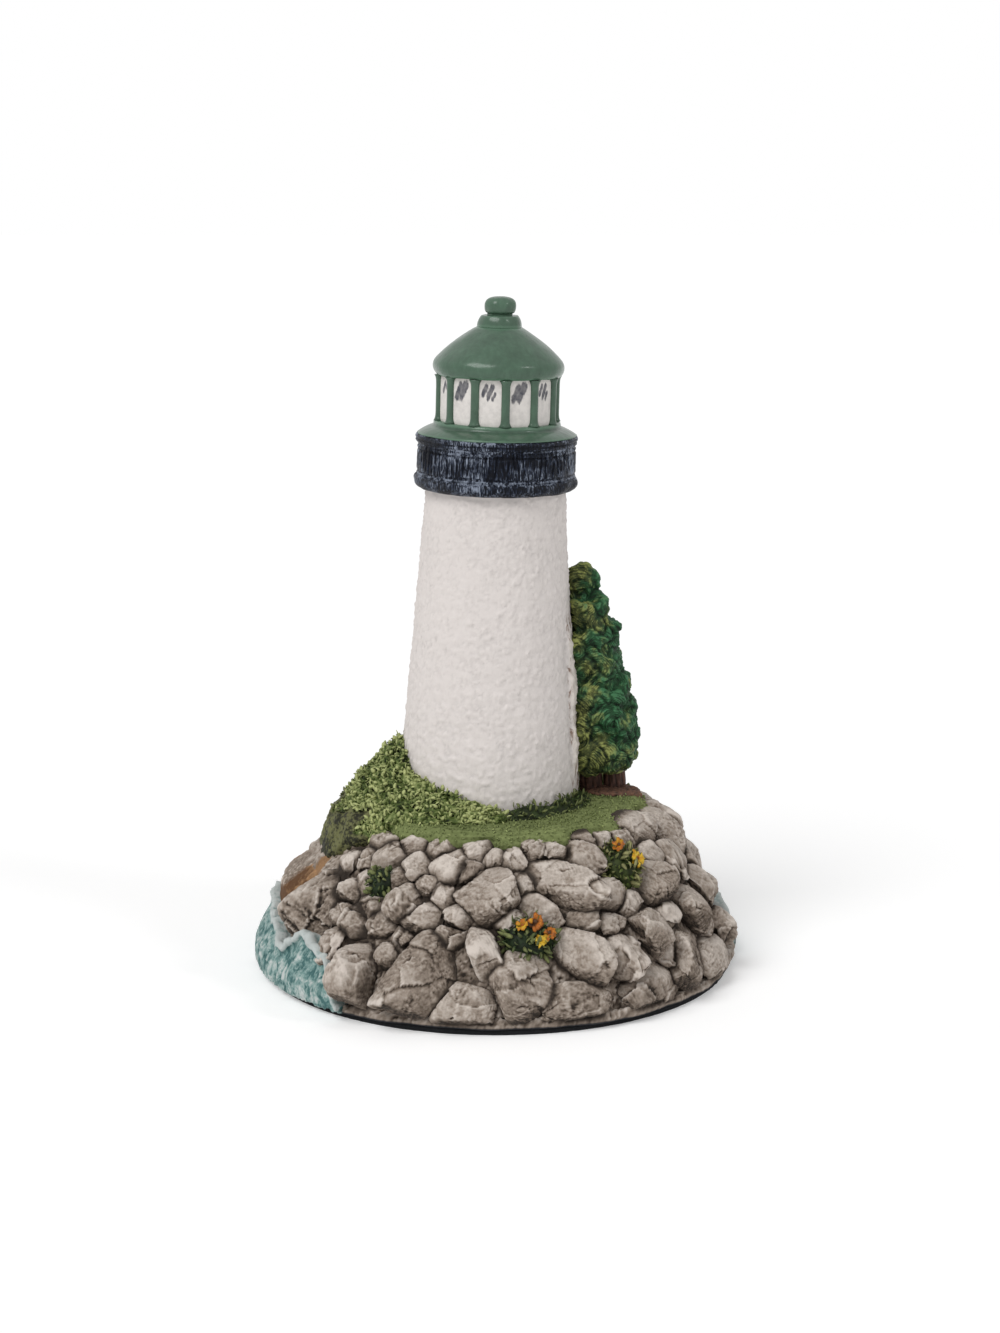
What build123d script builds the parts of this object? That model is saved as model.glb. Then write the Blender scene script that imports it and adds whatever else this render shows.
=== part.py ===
from build123d import *

import math
import os
from dataclasses import dataclass

import numpy as np
from scipy.spatial import ConvexHull, HalfspaceIntersection

# A lighthouse figurine: a white tower on a headland of boulders, with the sea behind it,
# an ivy bank, an evergreen and a few clumps of flowers.
# Each piece is a painted casting with its own seat, spigot or bedding face.
# Millimetres, +Z up, origin at the middle of the felt underside, front towards -Y.
# An azimuth is in degrees, anticlockwise from +X seen from above, so 270 faces the front.

# Fits
GLUE_GAP = 0.1  # radial room for glue round every spigot
CREVICE = 0.3  # gap between neighbouring boulders
LEAF_GAP = 0.1  # gap between neighbouring clumps of leaves
TOWER_GAP = 0.15  # how near planting and turf come to the tower wall

# Felt and mound
FELT_THICKNESS = 1.0
FELT_INSET = 0.4
FOOT_RADIUS = 43.0
RIM_HEIGHT = 1.4
SLOPE_FOOT_RADIUS = 41.4
BROW_RADIUS = 25.2
BROW_HEIGHT = 28.5
SLOPE_BULGE = 2.2
MOUND_SIDES = 24
MOUND_LEVELS = 5

# Boulders
BOULDER_STAND = 1.3  # how far the smallest boulder stands out of the mound
BOULDER_SWELL = 0.2  # how much further it stands out for each millimetre of breadth
BOULDER_BED = 1.8  # how deep it is bedded before its back is fitted to the mound
BOULDER_CROWD = 1.45  # how much bigger each one is drawn before it gives way to its neighbours
STONE_CORNERS = 7
STONE_ROUGHNESS = 0.13
NEIGHBOUR_DISTANCE = 26.0  # middles further apart than this never meet

# Sea and beach
SEA_REACH = 1.0  # how far the sea stands past the foot of the mound
SEA_STAND = 2.8  # how far its crest stands out from the slope
SEA_BED = 5.0
BEACH_BED = 4.0
BEACH_DROP = 7.0
SPAN_STEP = 7.5  # degrees between the sections of the sea, the beach and the ivy

# Turf and planting
TURF_RADIUS = 26.4
TURF_DEPTH = 2.0
TURF_SLOPE = 3.0
IVY_SHOULDER_OUT = 0.87  # where the bank turns down, as a share of its way out and of its way down
IVY_SHOULDER_DOWN = 0.64
FRINGE_WIDTH = 2.8
FRINGE_HEIGHT = 2.2
MULCH_LENGTH = 11.0
MULCH_BREADTH = 8.0
MULCH_DEPTH = 1.0

# Flowers
FLOWER_STAND = 3.6
BLOSSOM_RADIUS = 1.5
BLOSSOM_DEPTH = 1.4
BLOSSOM_PETALS = 5

# Tower
TOWER_X = -1.5
TOWER_Y = 0.6
TOWER_LEAN = 1.4
TOWER_SINK = 0.5  # how deep the leaning foot is let into the plateau
TOWER_FOOT_RADIUS = 16.6
TOWER_TOP_RADIUS = 12.3
TOWER_HEIGHT = 58.9
TOWER_WAIST = 0.2  # how far the wall bows in between foot and top
SPIGOT_RADIUS = 9.0
SPIGOT_LENGTH = 7.0

# Gallery
LEDGE_RADIUS = 14.6
LEDGE_HEIGHT = 2.0
PARAPET_RADIUS = 14.1
PARAPET_HEIGHT = 5.6
PARAPET_BALUSTERS = 44
BALUSTER_GROOVE = 0.3
RAIL_RADIUS = 14.4
RAIL_HEIGHT = 1.5

# Lantern
DECK_RISE = 2.3
SILL_RADIUS = 11.3
PANES = 12
PANE_TURN = 7.5
PANE_RADIUS = 10.4
PANE_HEIGHT = 8.0
MULLION_RADIUS = 0.8
CORE_PIN_RADIUS = 5.0
CORE_PIN_TOP = 2.5  # how far the core stands up into the roof

# Roof
SOFFIT_RADIUS = 10.9
EAVE_RADIUS = 11.6
EAVE_HEIGHT = 3.0
ROOF_HEIGHT = 8.4
VENT_FOOT_RADIUS = 3.9
VENT_TOP_RADIUS = 3.3
VENT_HEIGHT = 2.0
FINIAL_RADIUS = 2.7
FINIAL_NECK_RADIUS = 2.3
FINIAL_NECK = 0.4
FINIAL_HEIGHT = 3.3
PEG_RADIUS = 1.4
PEG_LENGTH = 3.2

# Tree
TREE_AZIMUTH = 10.0
TREE_FOOT_CLEAR = 5.2  # from the tower wall to the tree's middle line at the ground
TREE_TIP_CLEAR = 2.0  # the same at the tip
TREE_HEIGHT = 43.0
TREE_TIERS = 7
TREE_FOOT_CLUMPS = 7  # clumps in the lowest tier; each tier above has one less
TREE_FOOT_RADIUS = 7.6
TREE_TIP_RADIUS = 2.4
TREE_SKIRT = 0.88  # size of the lowest tier against the run of the others
CLUMP_CROWD = 1.8  # how much bigger each clump is drawn before it gives way to its neighbours
TRUNK_RADIUS = 1.7
TRUNK_FLARE = 1.2
TRUNK_HEIGHT = 9.0
TRUNK_APART = 0.2  # clear gap between the two stems at the root
TRUNK_PEG = 3.0


@dataclass
class Boulder:
    """A boulder: where it sits on the slope, its size and how it is turned, seen from outside."""

    azimuth: float
    up: float  # 0 at the foot of the slope, 1 at its brow
    length: float
    breadth: float
    turn: float = 0.0


SHORE = [
    Boulder(235, 0.17, 13, 9, 85),
    Boulder(252, 0.23, 17, 12, 42),
    Boulder(265, 0.06, 11, 6.5, 12),
    Boulder(277, 0.19, 10.5, 9.5, 20),
    Boulder(290.5, 0.07, 12.5, 6, 0),
    Boulder(308, 0.06, 12.5, 7, 8),
    Boulder(323, 0.16, 10, 8.5, 30),
    Boulder(337, 0.08, 9, 7, 0),
    Boulder(348, 0.2, 7.6, 5.6, 70),
]

SLOPE_LEFT = [
    Boulder(243, 0.3, 4.6, 3.6, 40),
    Boulder(226, 0.3, 6.4, 5, 60),
    Boulder(222.5, 0.46, 4.6, 3.6, 0),
    Boulder(228, 0.66, 4.8, 3.8, 10),
    Boulder(239, 0.71, 4.4, 3.6, 0),
    Boulder(248.5, 0.71, 4.4, 3.4, 30),
    Boulder(213, 0.42, 14, 9, 32),
    Boulder(222, 0.58, 6.5, 4.4, 40),
    Boulder(228.5, 0.42, 5, 3.6, 20),
    Boulder(233, 0.54, 5, 3.4, -30),
    Boulder(238, 0.45, 5, 3.6, 15),
    Boulder(243, 0.6, 8.5, 5.4, 78),
    Boulder(246, 0.4, 4, 3.6, 0),
    Boulder(250, 0.51, 7, 4.6, 32),
]

SLOPE_MIDDLE = [
    Boulder(258, 0.44, 4.6, 3.6, 30),
    Boulder(262, 0.8, 4.6, 3.4, -20),
    Boulder(278, 0.73, 5.4, 4, 30),
    Boulder(274, 0.52, 4.4, 3.6, 0),
    Boulder(255, 0.66, 4.4, 3.6, 0),
    Boulder(260, 0.55, 4.4, 3.4, 60),
    Boulder(267, 0.68, 12, 10, -20),
    Boulder(267, 0.35, 9, 7, 95),
    Boulder(283, 0.58, 8, 5.4, -28),
    Boulder(291.5, 0.72, 20, 7.4, -32),
]

SLOPE_RIGHT = [
    Boulder(304, 0.63, 7, 4.4, -20),
    Boulder(331, 0.58, 5, 4, 0),
    Boulder(324, 0.42, 5, 4, 60),
    Boulder(331, 0.75, 6.4, 5, 20),
    Boulder(318, 0.23, 5, 4, 30),
    Boulder(340, 0.28, 5.6, 4.4, 30),
    Boulder(355, 0.6, 6, 4.4, 40),
    Boulder(291.5, 0.34, 14, 8.4, -36),
    Boulder(302.5, 0.28, 10, 5.6, -72),
    Boulder(294.5, 0.5, 5.8, 3.8, -25),
    Boulder(302, 0.46, 5.4, 3.2, -12),
    Boulder(310.5, 0.54, 4.8, 4.2, 30),
    Boulder(314, 0.37, 10, 8, 78),
    Boulder(322.5, 0.63, 10.5, 7, -64),
    Boulder(333, 0.4, 9, 7.4, 85),
    Boulder(341, 0.68, 8, 7.4, 20),
    Boulder(348, 0.47, 8, 6.6, 70),
    Boulder(0, 0.38, 6.4, 4.4, 80),
]

BROW = [
    Boulder(239.5, 0.92, 4.6, 3.4, 0),
    Boulder(269, 0.88, 4.4, 3.4, 0),
    Boulder(291, 0.9, 4.8, 3.4, 10),
    Boulder(312, 0.93, 4.8, 3.4, 0),
    Boulder(226, 0.9, 4.8, 3.6, 0),
    Boulder(216, 0.75, 4.4, 3.4, 20),
    Boulder(223.5, 0.78, 4, 3.4, 0),
    Boulder(232.5, 0.83, 6, 5.4, 30),
    Boulder(244, 0.8, 5.8, 5.2, 60),
    Boulder(248.5, 0.93, 5.8, 3.6, -8),
    Boulder(255, 0.83, 6.6, 4.8, 14),
    Boulder(263.5, 0.93, 4.6, 3.6, 0),
    Boulder(276, 0.86, 5.4, 4, 10),
    Boulder(283.5, 0.93, 4.6, 3.4, 0),
    Boulder(299.5, 0.85, 7.4, 5.6, -38),
    Boulder(305.5, 0.95, 4.8, 3.4, -15),
    Boulder(320, 0.9, 5.4, 4.4, 0),
    Boulder(333.5, 0.91, 10, 6, -14),
    Boulder(351, 0.8, 10, 7.6, -30),
]

# The side away from the front carries two courses of boulders above the sea:
# first and last azimuth, how many, share of the slope, length and breadth.
BACK_COURSES = [(14, 140, 9, 0.5, 10.0, 7.6), (6, 132, 9, 0.8, 8.6, 6.6)]

# Where the sea's crest runs: azimuth and height, from the right of the back round to the front left.
SEA_RUN = [
    (0, 4), (9, 9), (22, 7.5), (38, 9.5), (54, 7.5), (72, 9.5), (90, 7.5), (108, 9.5), (126, 8), (144, 10),
    (160, 10), (174, 12), (187, 12.6), (198, 11), (207, 8.5), (216, 12), (225, 10), (233, 3),
]

# The beach is a ledge between the ivy and the sea: azimuth, height of its back, radius and height of its lip.
BEACH_RUN = [(156, 17.5, 36.5, 13.5), (172, 20.5, 38.4, 16.0), (192, 20.5, 39.0, 16.0), (207, 18.0, 38.0, 13.5)]

# The ivy bank climbs the tower and spreads down the left shoulder: azimuth, height on the tower wall
# above the plateau, then how far its edge lies outside the brow and how far below the plateau.
IVY_RUN = [
    (126, 2.6, -1.5, -1.5), (146, 7.0, 1.6, 0.8), (166, 11.0, 5.2, 5.4), (184, 13.4, 6.8, 7.8),
    (198, 11.4, 7.0, 6.8), (210, 8.8, 5.6, 3.6), (222, 7.4, 2.8, 0.6), (234, 6.6, -0.4, -1.2),
    (248, 5.8, -2.4, -1.7), (262, 4.8, -4.0, -1.8), (276, 2.6, -5.6, -1.8),
]

# Dark tufts of grass at the foot of the tower, between the ivy and the tree: azimuth and share of full height.
FRINGE_RUN = [(278, 0.6), (292, 1.0), (306, 0.6), (320, 1.0), (334, 0.7), (346, 0.9)]


@dataclass
class FlowerClump:
    """A clump of leaves among the boulders, with its blossoms as shares of its width and height."""

    azimuth: float
    up: float
    width: float
    height: float
    blossoms: list


FLOWERS = {
    "front": FlowerClump(278.5, 0.42, 9.4, 8.0, [(-0.14, 0.24), (0.1, 0.3), (0.14, -0.1), (0.34, 0.04)]),
    "side": FlowerClump(312.5, 0.76, 7.4, 9.0, [(-0.06, 0.3), (0.24, -0.04)]),
    "left": FlowerClump(234.0, 0.67, 5.6, 6.4, []),
}

# Rings of corners of a rough stone: height as a share of its depth, and spread as a share of its size.
STONE_RINGS = [(-1.0, 0.86), (0.0, 1.0), (0.62, 0.84), (1.0, 0.5)]

STANDING = (Align.CENTER, Align.CENTER, Align.MIN)


def polar(azimuth, radius, height):
    """The point at that azimuth, radius and height."""
    angle = math.radians(azimuth)
    return Vector(radius * math.cos(angle), radius * math.sin(angle), height)


def biggest(shape):
    """The largest solid of a cut shape: the crumbs are thrown away."""
    return max(shape.solids(), key=lambda solid: solid.volume)


def fitted(shape, *neighbours):
    """The shape cut to fit round those neighbours that it comes near."""
    box = shape.bounding_box()
    near = [other for other in neighbours if box.overlaps(other.bounding_box())]
    return biggest(shape - near) if near else biggest(shape)


def along(rows):
    """Steps along rows of (azimuth, values...), with the values eased from each row to the next."""
    first, last = rows[0][0], rows[-1][0]
    count = round((last - first) / SPAN_STEP)
    for number in range(count + 1):
        azimuth = first + (last - first) * number / count
        low, high = next(pair for pair in zip(rows, rows[1:]) if azimuth <= pair[1][0])
        share = (1 - math.cos(math.pi * (azimuth - low[0]) / (high[0] - low[0]))) / 2
        yield azimuth, *[start + (end - start) * share for start, end in zip(low[1:], high[1:])]


def ridge(sections):
    """One solid that runs through a row of upright, convex outlines of (radius, height) points."""
    rows = [[polar(azimuth, r, z) for r, z in outline] for azimuth, outline in sections]
    spans = [ConvexPolyhedron(first + second) for first, second in zip(rows, rows[1:])]
    return spans[0].fuse(*spans[1:])


# The slope of the mound, drawn as radius against height.
slope = SagittaArc((SLOPE_FOOT_RADIUS, FELT_THICKNESS + RIM_HEIGHT), (BROW_RADIUS, BROW_HEIGHT), -SLOPE_BULGE)


def on_slope(azimuth, up):
    """A plane on the slope, facing outwards, with its x axis level and to the right seen from outside."""
    place, rise = slope @ up, slope % up
    facing = polar(azimuth, rise.Y, -rise.X)
    return Plane(polar(azimuth, place.X, place.Y), x_dir=polar(azimuth + 90, 1, 0), z_dir=facing)


def slope_radius(height):
    """Radius of the slope at a height between its foot and its brow."""
    low, high = 0.0, 1.0
    for _ in range(30):
        middle = (low + high) / 2
        low, high = (middle, high) if (slope @ middle).Y < height else (low, middle)
    return (slope @ low).X


def rough_stone(plane, length, breadth, bed, stand, grain):
    """Corner points of a rough, rounded stone that lies on the plane. The grain makes each one differ."""
    corners = []
    for ring, (share, spread) in enumerate(STONE_RINGS):
        height = share * (bed if share < 0 else stand)
        for corner in range(STONE_CORNERS):
            angle = 2 * math.pi * (corner + 0.5 * (ring % 2)) / STONE_CORNERS
            reach = 0.5 * spread * (1 + STONE_ROUGHNESS * math.sin(grain * (3 * corner + 5 * ring + 1)))
            local = (length * reach * math.cos(angle), breadth * reach * math.sin(angle), height)
            corners.append(plane.from_local_coords(local))
    return corners


class Lump:
    """A rough convex solid that gives way to its neighbours along flat faces."""

    def __init__(self, plane, length, breadth, bed, stand, grain):
        self.middle = plane.origin
        self.corners = rough_stone(plane, length, breadth, bed, stand, grain)
        self.faces = ConvexHull([tuple(corner) for corner in self.corners]).equations.tolist()

    def reach(self, direction):
        """How far the uncut lump stretches in that direction."""
        return max((corner - self.middle).dot(direction) for corner in self.corners)

    def cut_back(self, place, direction):
        """Keeps what lies behind the plane through that place."""
        self.faces.append([*direction, -place.dot(direction)])

    def solid(self):
        corners = HalfspaceIntersection(np.array(self.faces), np.array(tuple(self.middle))).intersections
        return ConvexPolyhedron([tuple(corner) for corner in np.unique(corners.round(2), axis=0)]).solid()


def settle(lumps, gap):
    """Parts each pair of lumps that crowd each other, in proportion to their sizes."""
    for index, first in enumerate(lumps):
        for second in lumps[index + 1:]:
            apart = second.middle - first.middle
            if apart.length > NEIGHBOUR_DISTANCE:
                continue
            direction = apart.normalized()
            reach_first, reach_second = first.reach(direction), second.reach(direction * -1)
            if reach_first + reach_second + gap <= apart.length:
                continue
            share = apart.length * reach_first / (reach_first + reach_second)
            first.cut_back(first.middle + direction * (share - gap / 2), direction)
            second.cut_back(first.middle + direction * (share + gap / 2), direction * -1)


# Tower frame: upright pieces are drawn about this leaning axis, from the tower's foot up.
tower_frame = Location((TOWER_X, TOWER_Y, BROW_HEIGHT - TOWER_SINK), (0, TOWER_LEAN, 0))
PARAPET_FOOT = TOWER_HEIGHT + LEDGE_HEIGHT
RAIL_FOOT = PARAPET_FOOT + PARAPET_HEIGHT
DECK_FOOT = RAIL_FOOT + RAIL_HEIGHT
PANE_FOOT = DECK_FOOT + DECK_RISE
ROOF_FOOT = PANE_FOOT + PANE_HEIGHT
VENT_FOOT = ROOF_FOOT + ROOF_HEIGHT
FINIAL_FOOT = VENT_FOOT + VENT_HEIGHT


def turned(*edges):
    """A piece turned about the tower's axis from edges of (radius, height) that start and end on it."""
    outline = Wire([Edge.make_line(edges[-1] @ 1, edges[0] @ 0), *edges])
    return tower_frame * revolve(Plane.XZ * make_face(outline), axis=Axis.Z)


def pin(radius, foot, top):
    """A round bar on the tower's axis."""
    return tower_frame * Pos(0, 0, foot) * Cylinder(radius, top - foot, align=STANDING)


def tower_wall(gap=0.0):
    """The tower's shaft up to the gallery, grown by a gap."""
    foot, top = (TOWER_FOOT_RADIUS + gap, 0), (TOWER_TOP_RADIUS + gap, TOWER_HEIGHT)
    wall = SagittaArc(foot, top, TOWER_WAIST)
    return turned(Line((0, 0), foot), wall, Line(top, (0, TOWER_HEIGHT)))


def wall_radius(azimuth, height):
    """Distance from the middle of the mound to the tower's wall, at a height above the plateau."""
    share = min(height / TOWER_HEIGHT, 1)
    radius = TOWER_FOOT_RADIUS + (TOWER_TOP_RADIUS - TOWER_FOOT_RADIUS) * share
    return radius + Vector(TOWER_X, TOWER_Y, 0).dot(polar(azimuth, 1, 0))


def make_tower():
    """The white shaft, with a spigot into the mound and a socket for the lantern's pin."""
    shaft = tower_wall() + pin(SPIGOT_RADIUS, -SPIGOT_LENGTH, 0)
    return shaft - pin(CORE_PIN_RADIUS + GLUE_GAP, TOWER_HEIGHT - SPIGOT_LENGTH, TOWER_HEIGHT)


def make_gallery():
    """The ledge, the parapet with its scored balusters and the top rail, each a ring on the lantern's pin."""
    ledge_foot, ledge_top = (TOWER_TOP_RADIUS, TOWER_HEIGHT), (PARAPET_RADIUS, PARAPET_FOOT)
    ledge_nose = (LEDGE_RADIUS, TOWER_HEIGHT + 0.6 * LEDGE_HEIGHT)
    ledge = turned(Line((0, TOWER_HEIGHT), ledge_foot), ThreePointArc(ledge_foot, ledge_nose, ledge_top),
                   Line(ledge_top, (0, PARAPET_FOOT)))
    rail_foot, rail_top = (PARAPET_RADIUS, RAIL_FOOT), (PARAPET_RADIUS, DECK_FOOT)
    rail_nose = (RAIL_RADIUS, RAIL_FOOT + RAIL_HEIGHT / 2)
    rail = turned(Line((0, RAIL_FOOT), rail_foot), ThreePointArc(rail_foot, rail_nose, rail_top),
                  Line(rail_top, (0, DECK_FOOT)))
    groove = Rot(Z=45) * Box(2 * BALUSTER_GROOVE, 2 * BALUSTER_GROOVE, PARAPET_HEIGHT)
    middle = tower_frame * Pos(0, 0, PARAPET_FOOT + PARAPET_HEIGHT / 2)
    grooves = [middle * place * groove for place in PolarLocations(PARAPET_RADIUS, PARAPET_BALUSTERS)]
    parapet = pin(PARAPET_RADIUS, PARAPET_FOOT, RAIL_FOOT) - grooves
    bore = pin(CORE_PIN_RADIUS + GLUE_GAP, TOWER_HEIGHT, DECK_FOOT)
    return {"gallery_ledge": ledge - bore, "gallery_parapet": parapet - bore, "gallery_rail": rail - bore}


def make_lantern():
    """The deck, the many-sided core with its panes, and a mullion on each corner."""
    edge, step = (PARAPET_RADIUS, DECK_FOOT), (SILL_RADIUS, DECK_FOOT + 0.6 * DECK_RISE)
    hollow = (0.5 * (PARAPET_RADIUS + SILL_RADIUS), DECK_FOOT + 0.4 * DECK_RISE)
    sill = (SILL_RADIUS, PANE_FOOT)
    deck = turned(Line((0, DECK_FOOT), edge), ThreePointArc(edge, hollow, step), Line(step, sill),
                  Line(sill, (0, PANE_FOOT)))
    deck -= pin(CORE_PIN_RADIUS + GLUE_GAP, DECK_FOOT, PANE_FOOT)
    first_corner = PANE_TURN - 90
    glazing = extrude(Rot(Z=first_corner) * RegularPolygon(PANE_RADIUS, PANES), PANE_HEIGHT)
    glazing = tower_frame * Pos(0, 0, PANE_FOOT) * glazing
    core = glazing + pin(CORE_PIN_RADIUS, TOWER_HEIGHT - SPIGOT_LENGTH, PANE_FOOT)
    core += pin(CORE_PIN_RADIUS, ROOF_FOOT, ROOF_FOOT + CORE_PIN_TOP)
    pieces = {"lantern_deck": deck, "lantern_core": core}
    for number in range(PANES):
        corner = polar(first_corner + 360 * number / PANES, PANE_RADIUS, PANE_FOOT)
        post = tower_frame * Pos(*corner) * Cylinder(MULLION_RADIUS, PANE_HEIGHT, align=STANDING)
        pieces[f"mullion_{number + 1:02d}"] = post - glazing
    return pieces


def make_roof():
    """The bell-shaped roof, its vent collar and the finial, whose peg holds all three together."""
    soffit, crown = (SOFFIT_RADIUS, ROOF_FOOT), (VENT_FOOT_RADIUS, VENT_FOOT)
    shoulder = Vector(0.95 * EAVE_RADIUS, ROOF_FOOT + EAVE_HEIGHT)
    eave = ThreePointArc(soffit, (EAVE_RADIUS, ROOF_FOOT + 0.45 * EAVE_HEIGHT), shoulder)
    swell = shoulder + (eave % 1) * 0.8 * EAVE_HEIGHT
    hollow = (VENT_FOOT_RADIUS + 0.3 * ROOF_HEIGHT, VENT_FOOT - 0.16 * ROOF_HEIGHT)
    roof = turned(Line((0, ROOF_FOOT), soffit), eave, Bezier(shoulder, swell, hollow, crown),
                  Line(crown, (0, VENT_FOOT)))
    roof -= pin(CORE_PIN_RADIUS + GLUE_GAP, ROOF_FOOT, ROOF_FOOT + CORE_PIN_TOP + GLUE_GAP)
    roof -= pin(PEG_RADIUS + GLUE_GAP, FINIAL_FOOT - PEG_LENGTH - GLUE_GAP, VENT_FOOT)
    vent_side, vent_top = (0.95 * VENT_FOOT_RADIUS, VENT_FOOT + 0.6 * VENT_HEIGHT), (VENT_TOP_RADIUS, FINIAL_FOOT)
    vent = turned(Line((0, VENT_FOOT), crown), ThreePointArc(crown, vent_side, vent_top),
                  Line(vent_top, (0, FINIAL_FOOT)))
    vent -= pin(PEG_RADIUS + GLUE_GAP, VENT_FOOT, FINIAL_FOOT)
    neck_top, tip = FINIAL_FOOT + FINIAL_NECK, FINIAL_FOOT + FINIAL_HEIGHT
    neck_foot, neck = (FINIAL_NECK_RADIUS, FINIAL_FOOT), (FINIAL_NECK_RADIUS, neck_top)
    widest = (FINIAL_RADIUS, neck_top + 0.4 * (FINIAL_HEIGHT - FINIAL_NECK))
    finial = turned(
        Line((0, FINIAL_FOOT), neck_foot), Line(neck_foot, neck),
        Bezier(neck, (FINIAL_RADIUS, neck_top), widest),
        Bezier(widest, (FINIAL_RADIUS, 0.1 * neck_top + 0.9 * tip), (0.6 * FINIAL_RADIUS, tip), (0, tip)),
    )
    finial += pin(PEG_RADIUS, FINIAL_FOOT - PEG_LENGTH, FINIAL_FOOT)
    return {"roof": roof, "roof_vent": vent, "finial": finial}


def ring_of(radius, height):
    """Corners all round the mound at one level."""
    return [polar(360 * side / MOUND_SIDES, radius, height) for side in range(MOUND_SIDES)]


def make_mound():
    """The faceted core of the headland on its foot rim, with the tower's seat in the plateau."""
    corners = ring_of(FOOT_RADIUS, FELT_THICKNESS) + ring_of(FOOT_RADIUS, FELT_THICKNESS + RIM_HEIGHT)
    for level in range(1, MOUND_LEVELS + 1):
        place = slope @ (level / MOUND_LEVELS)
        corners += ring_of(place.X, place.Y)
    return ConvexPolyhedron(corners) - tower_wall() - pin(SPIGOT_RADIUS + GLUE_GAP, -SPIGOT_LENGTH - GLUE_GAP, 0)


def back_boulders():
    """Courses of boulders round the back, each a little different from its neighbours."""
    stones = []
    for first, last, count, up, length, breadth in BACK_COURSES:
        for number in range(count):
            swing = math.sin(2.4 * number + 9 * up)
            size = 1 + 0.15 * swing
            azimuth = first + (last - first) * number / (count - 1)
            stones.append(Boulder(azimuth, up + 0.03 * swing, length * size, breadth * size, 40 * swing))
    return stones


def make_boulders(mound):
    """All the boulders, parted from each other and bedded on the mound, in named groups."""
    groups = {
        "shore_boulders": SHORE, "left_boulders": SLOPE_LEFT, "middle_boulders": SLOPE_MIDDLE,
        "right_boulders": SLOPE_RIGHT, "brow_boulders": BROW, "back_boulders": back_boulders(),
    }
    waterline = Vector(0, 0, FELT_THICKNESS + RIM_HEIGHT / 2)
    lumps = {}
    for name, stones in groups.items():
        for number, stone in enumerate(stones):
            plane = on_slope(stone.azimuth, stone.up).rotated((0, 0, stone.turn))
            length, breadth = BOULDER_CROWD * stone.length, BOULDER_CROWD * stone.breadth
            stand = BOULDER_STAND + BOULDER_SWELL * stone.breadth
            lump = Lump(plane, length, breadth, BOULDER_BED, stand, 1.3 + 0.17 * number)
            lump.cut_back(waterline, Vector(0, 0, -1))
            lumps.setdefault(name, []).append(lump)
    settle([lump for group in lumps.values() for lump in group], CREVICE)
    return {name: [fitted(lump.solid(), mound) for lump in group] for name, group in lumps.items()}


def make_sea(mound, boulders):
    """Swells that break against the back and the left of the headland."""
    outer = FOOT_RADIUS + SEA_REACH
    sections = []
    for azimuth, crest in along(SEA_RUN):
        crest_radius = slope_radius(crest) + SEA_STAND
        inner = crest_radius - SEA_BED
        swell = FELT_THICKNESS + 0.35 * (crest - FELT_THICKNESS)
        sections.append((azimuth, [
            (inner, FELT_THICKNESS), (FOOT_RADIUS, FELT_THICKNESS), (outer, swell), (crest_radius, crest),
            (inner, crest),
        ]))
    return fitted(ridge(sections), mound, *boulders)


def make_beach(mound, boulders, sea):
    """A ledge of sand from the ivy down to the sea."""
    sections = []
    for azimuth, back_height, lip_radius, lip_height in along(BEACH_RUN):
        back_radius = slope_radius(back_height)
        foot_height = lip_height - BEACH_DROP
        sections.append((azimuth, [
            (back_radius - BEACH_BED, foot_height), (back_radius - BEACH_BED, back_height),
            (back_radius, back_height), (lip_radius, lip_height), (lip_radius + 1, foot_height),
        ]))
    return fitted(ridge(sections), mound, sea, *boulders)


def make_turf(tower_room, boulders, stems):
    """The lawn on the plateau, worn away where the boulders of the brow come through."""
    edge = ring_of(TURF_RADIUS, BROW_HEIGHT)
    crown = ring_of(TURF_RADIUS - TURF_SLOPE, BROW_HEIGHT + TURF_DEPTH)
    return fitted(ConvexPolyhedron(edge + crown), tower_room, *boulders, *stems)


def make_ivy(*neighbours):
    """A bank of ivy that climbs the left of the tower and spills over the shoulder of the mound."""
    sections = []
    for azimuth, climb, out, drop in along(IVY_RUN):
        wall, top = wall_radius(azimuth, climb), BROW_HEIGHT + climb
        edge, foot = BROW_RADIUS + out, BROW_HEIGHT - drop
        shoulder = (wall + IVY_SHOULDER_OUT * (edge - wall), top + IVY_SHOULDER_DOWN * (foot - top))
        sections.append((azimuth, [
            (wall - 4, foot - 1), (wall - 4, top), (wall + 0.4, top), shoulder, (edge, foot + 0.6),
            (edge - 1, foot - 1),
        ]))
    return fitted(ridge(sections), *neighbours)


def make_fringe(*neighbours):
    """Tufts of grass against the tower, standing on the turf."""
    floor = BROW_HEIGHT + TURF_DEPTH
    sections = []
    for azimuth, share in along(FRINGE_RUN):
        wall, top = wall_radius(azimuth, 0), floor + FRINGE_HEIGHT * share
        sections.append((azimuth, [
            (wall - 2, floor - 1), (wall - 2, top), (wall + 0.4 * FRINGE_WIDTH, top - 0.3),
            (wall + FRINGE_WIDTH, floor), (wall + FRINGE_WIDTH, floor - 1),
        ]))
    return fitted(ridge(sections), *neighbours)


def tree_line(height):
    """Middle of the tree at a height above the plateau, beside the leaning tower."""
    share = height / TREE_HEIGHT
    clear = TREE_FOOT_CLEAR + (TREE_TIP_CLEAR - TREE_FOOT_CLEAR) * share
    lean = math.tan(math.radians(TOWER_LEAN)) * height
    return polar(TREE_AZIMUTH, wall_radius(TREE_AZIMUTH, height) + clear, BROW_HEIGHT + height) + Vector(lean, 0, 0)


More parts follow.
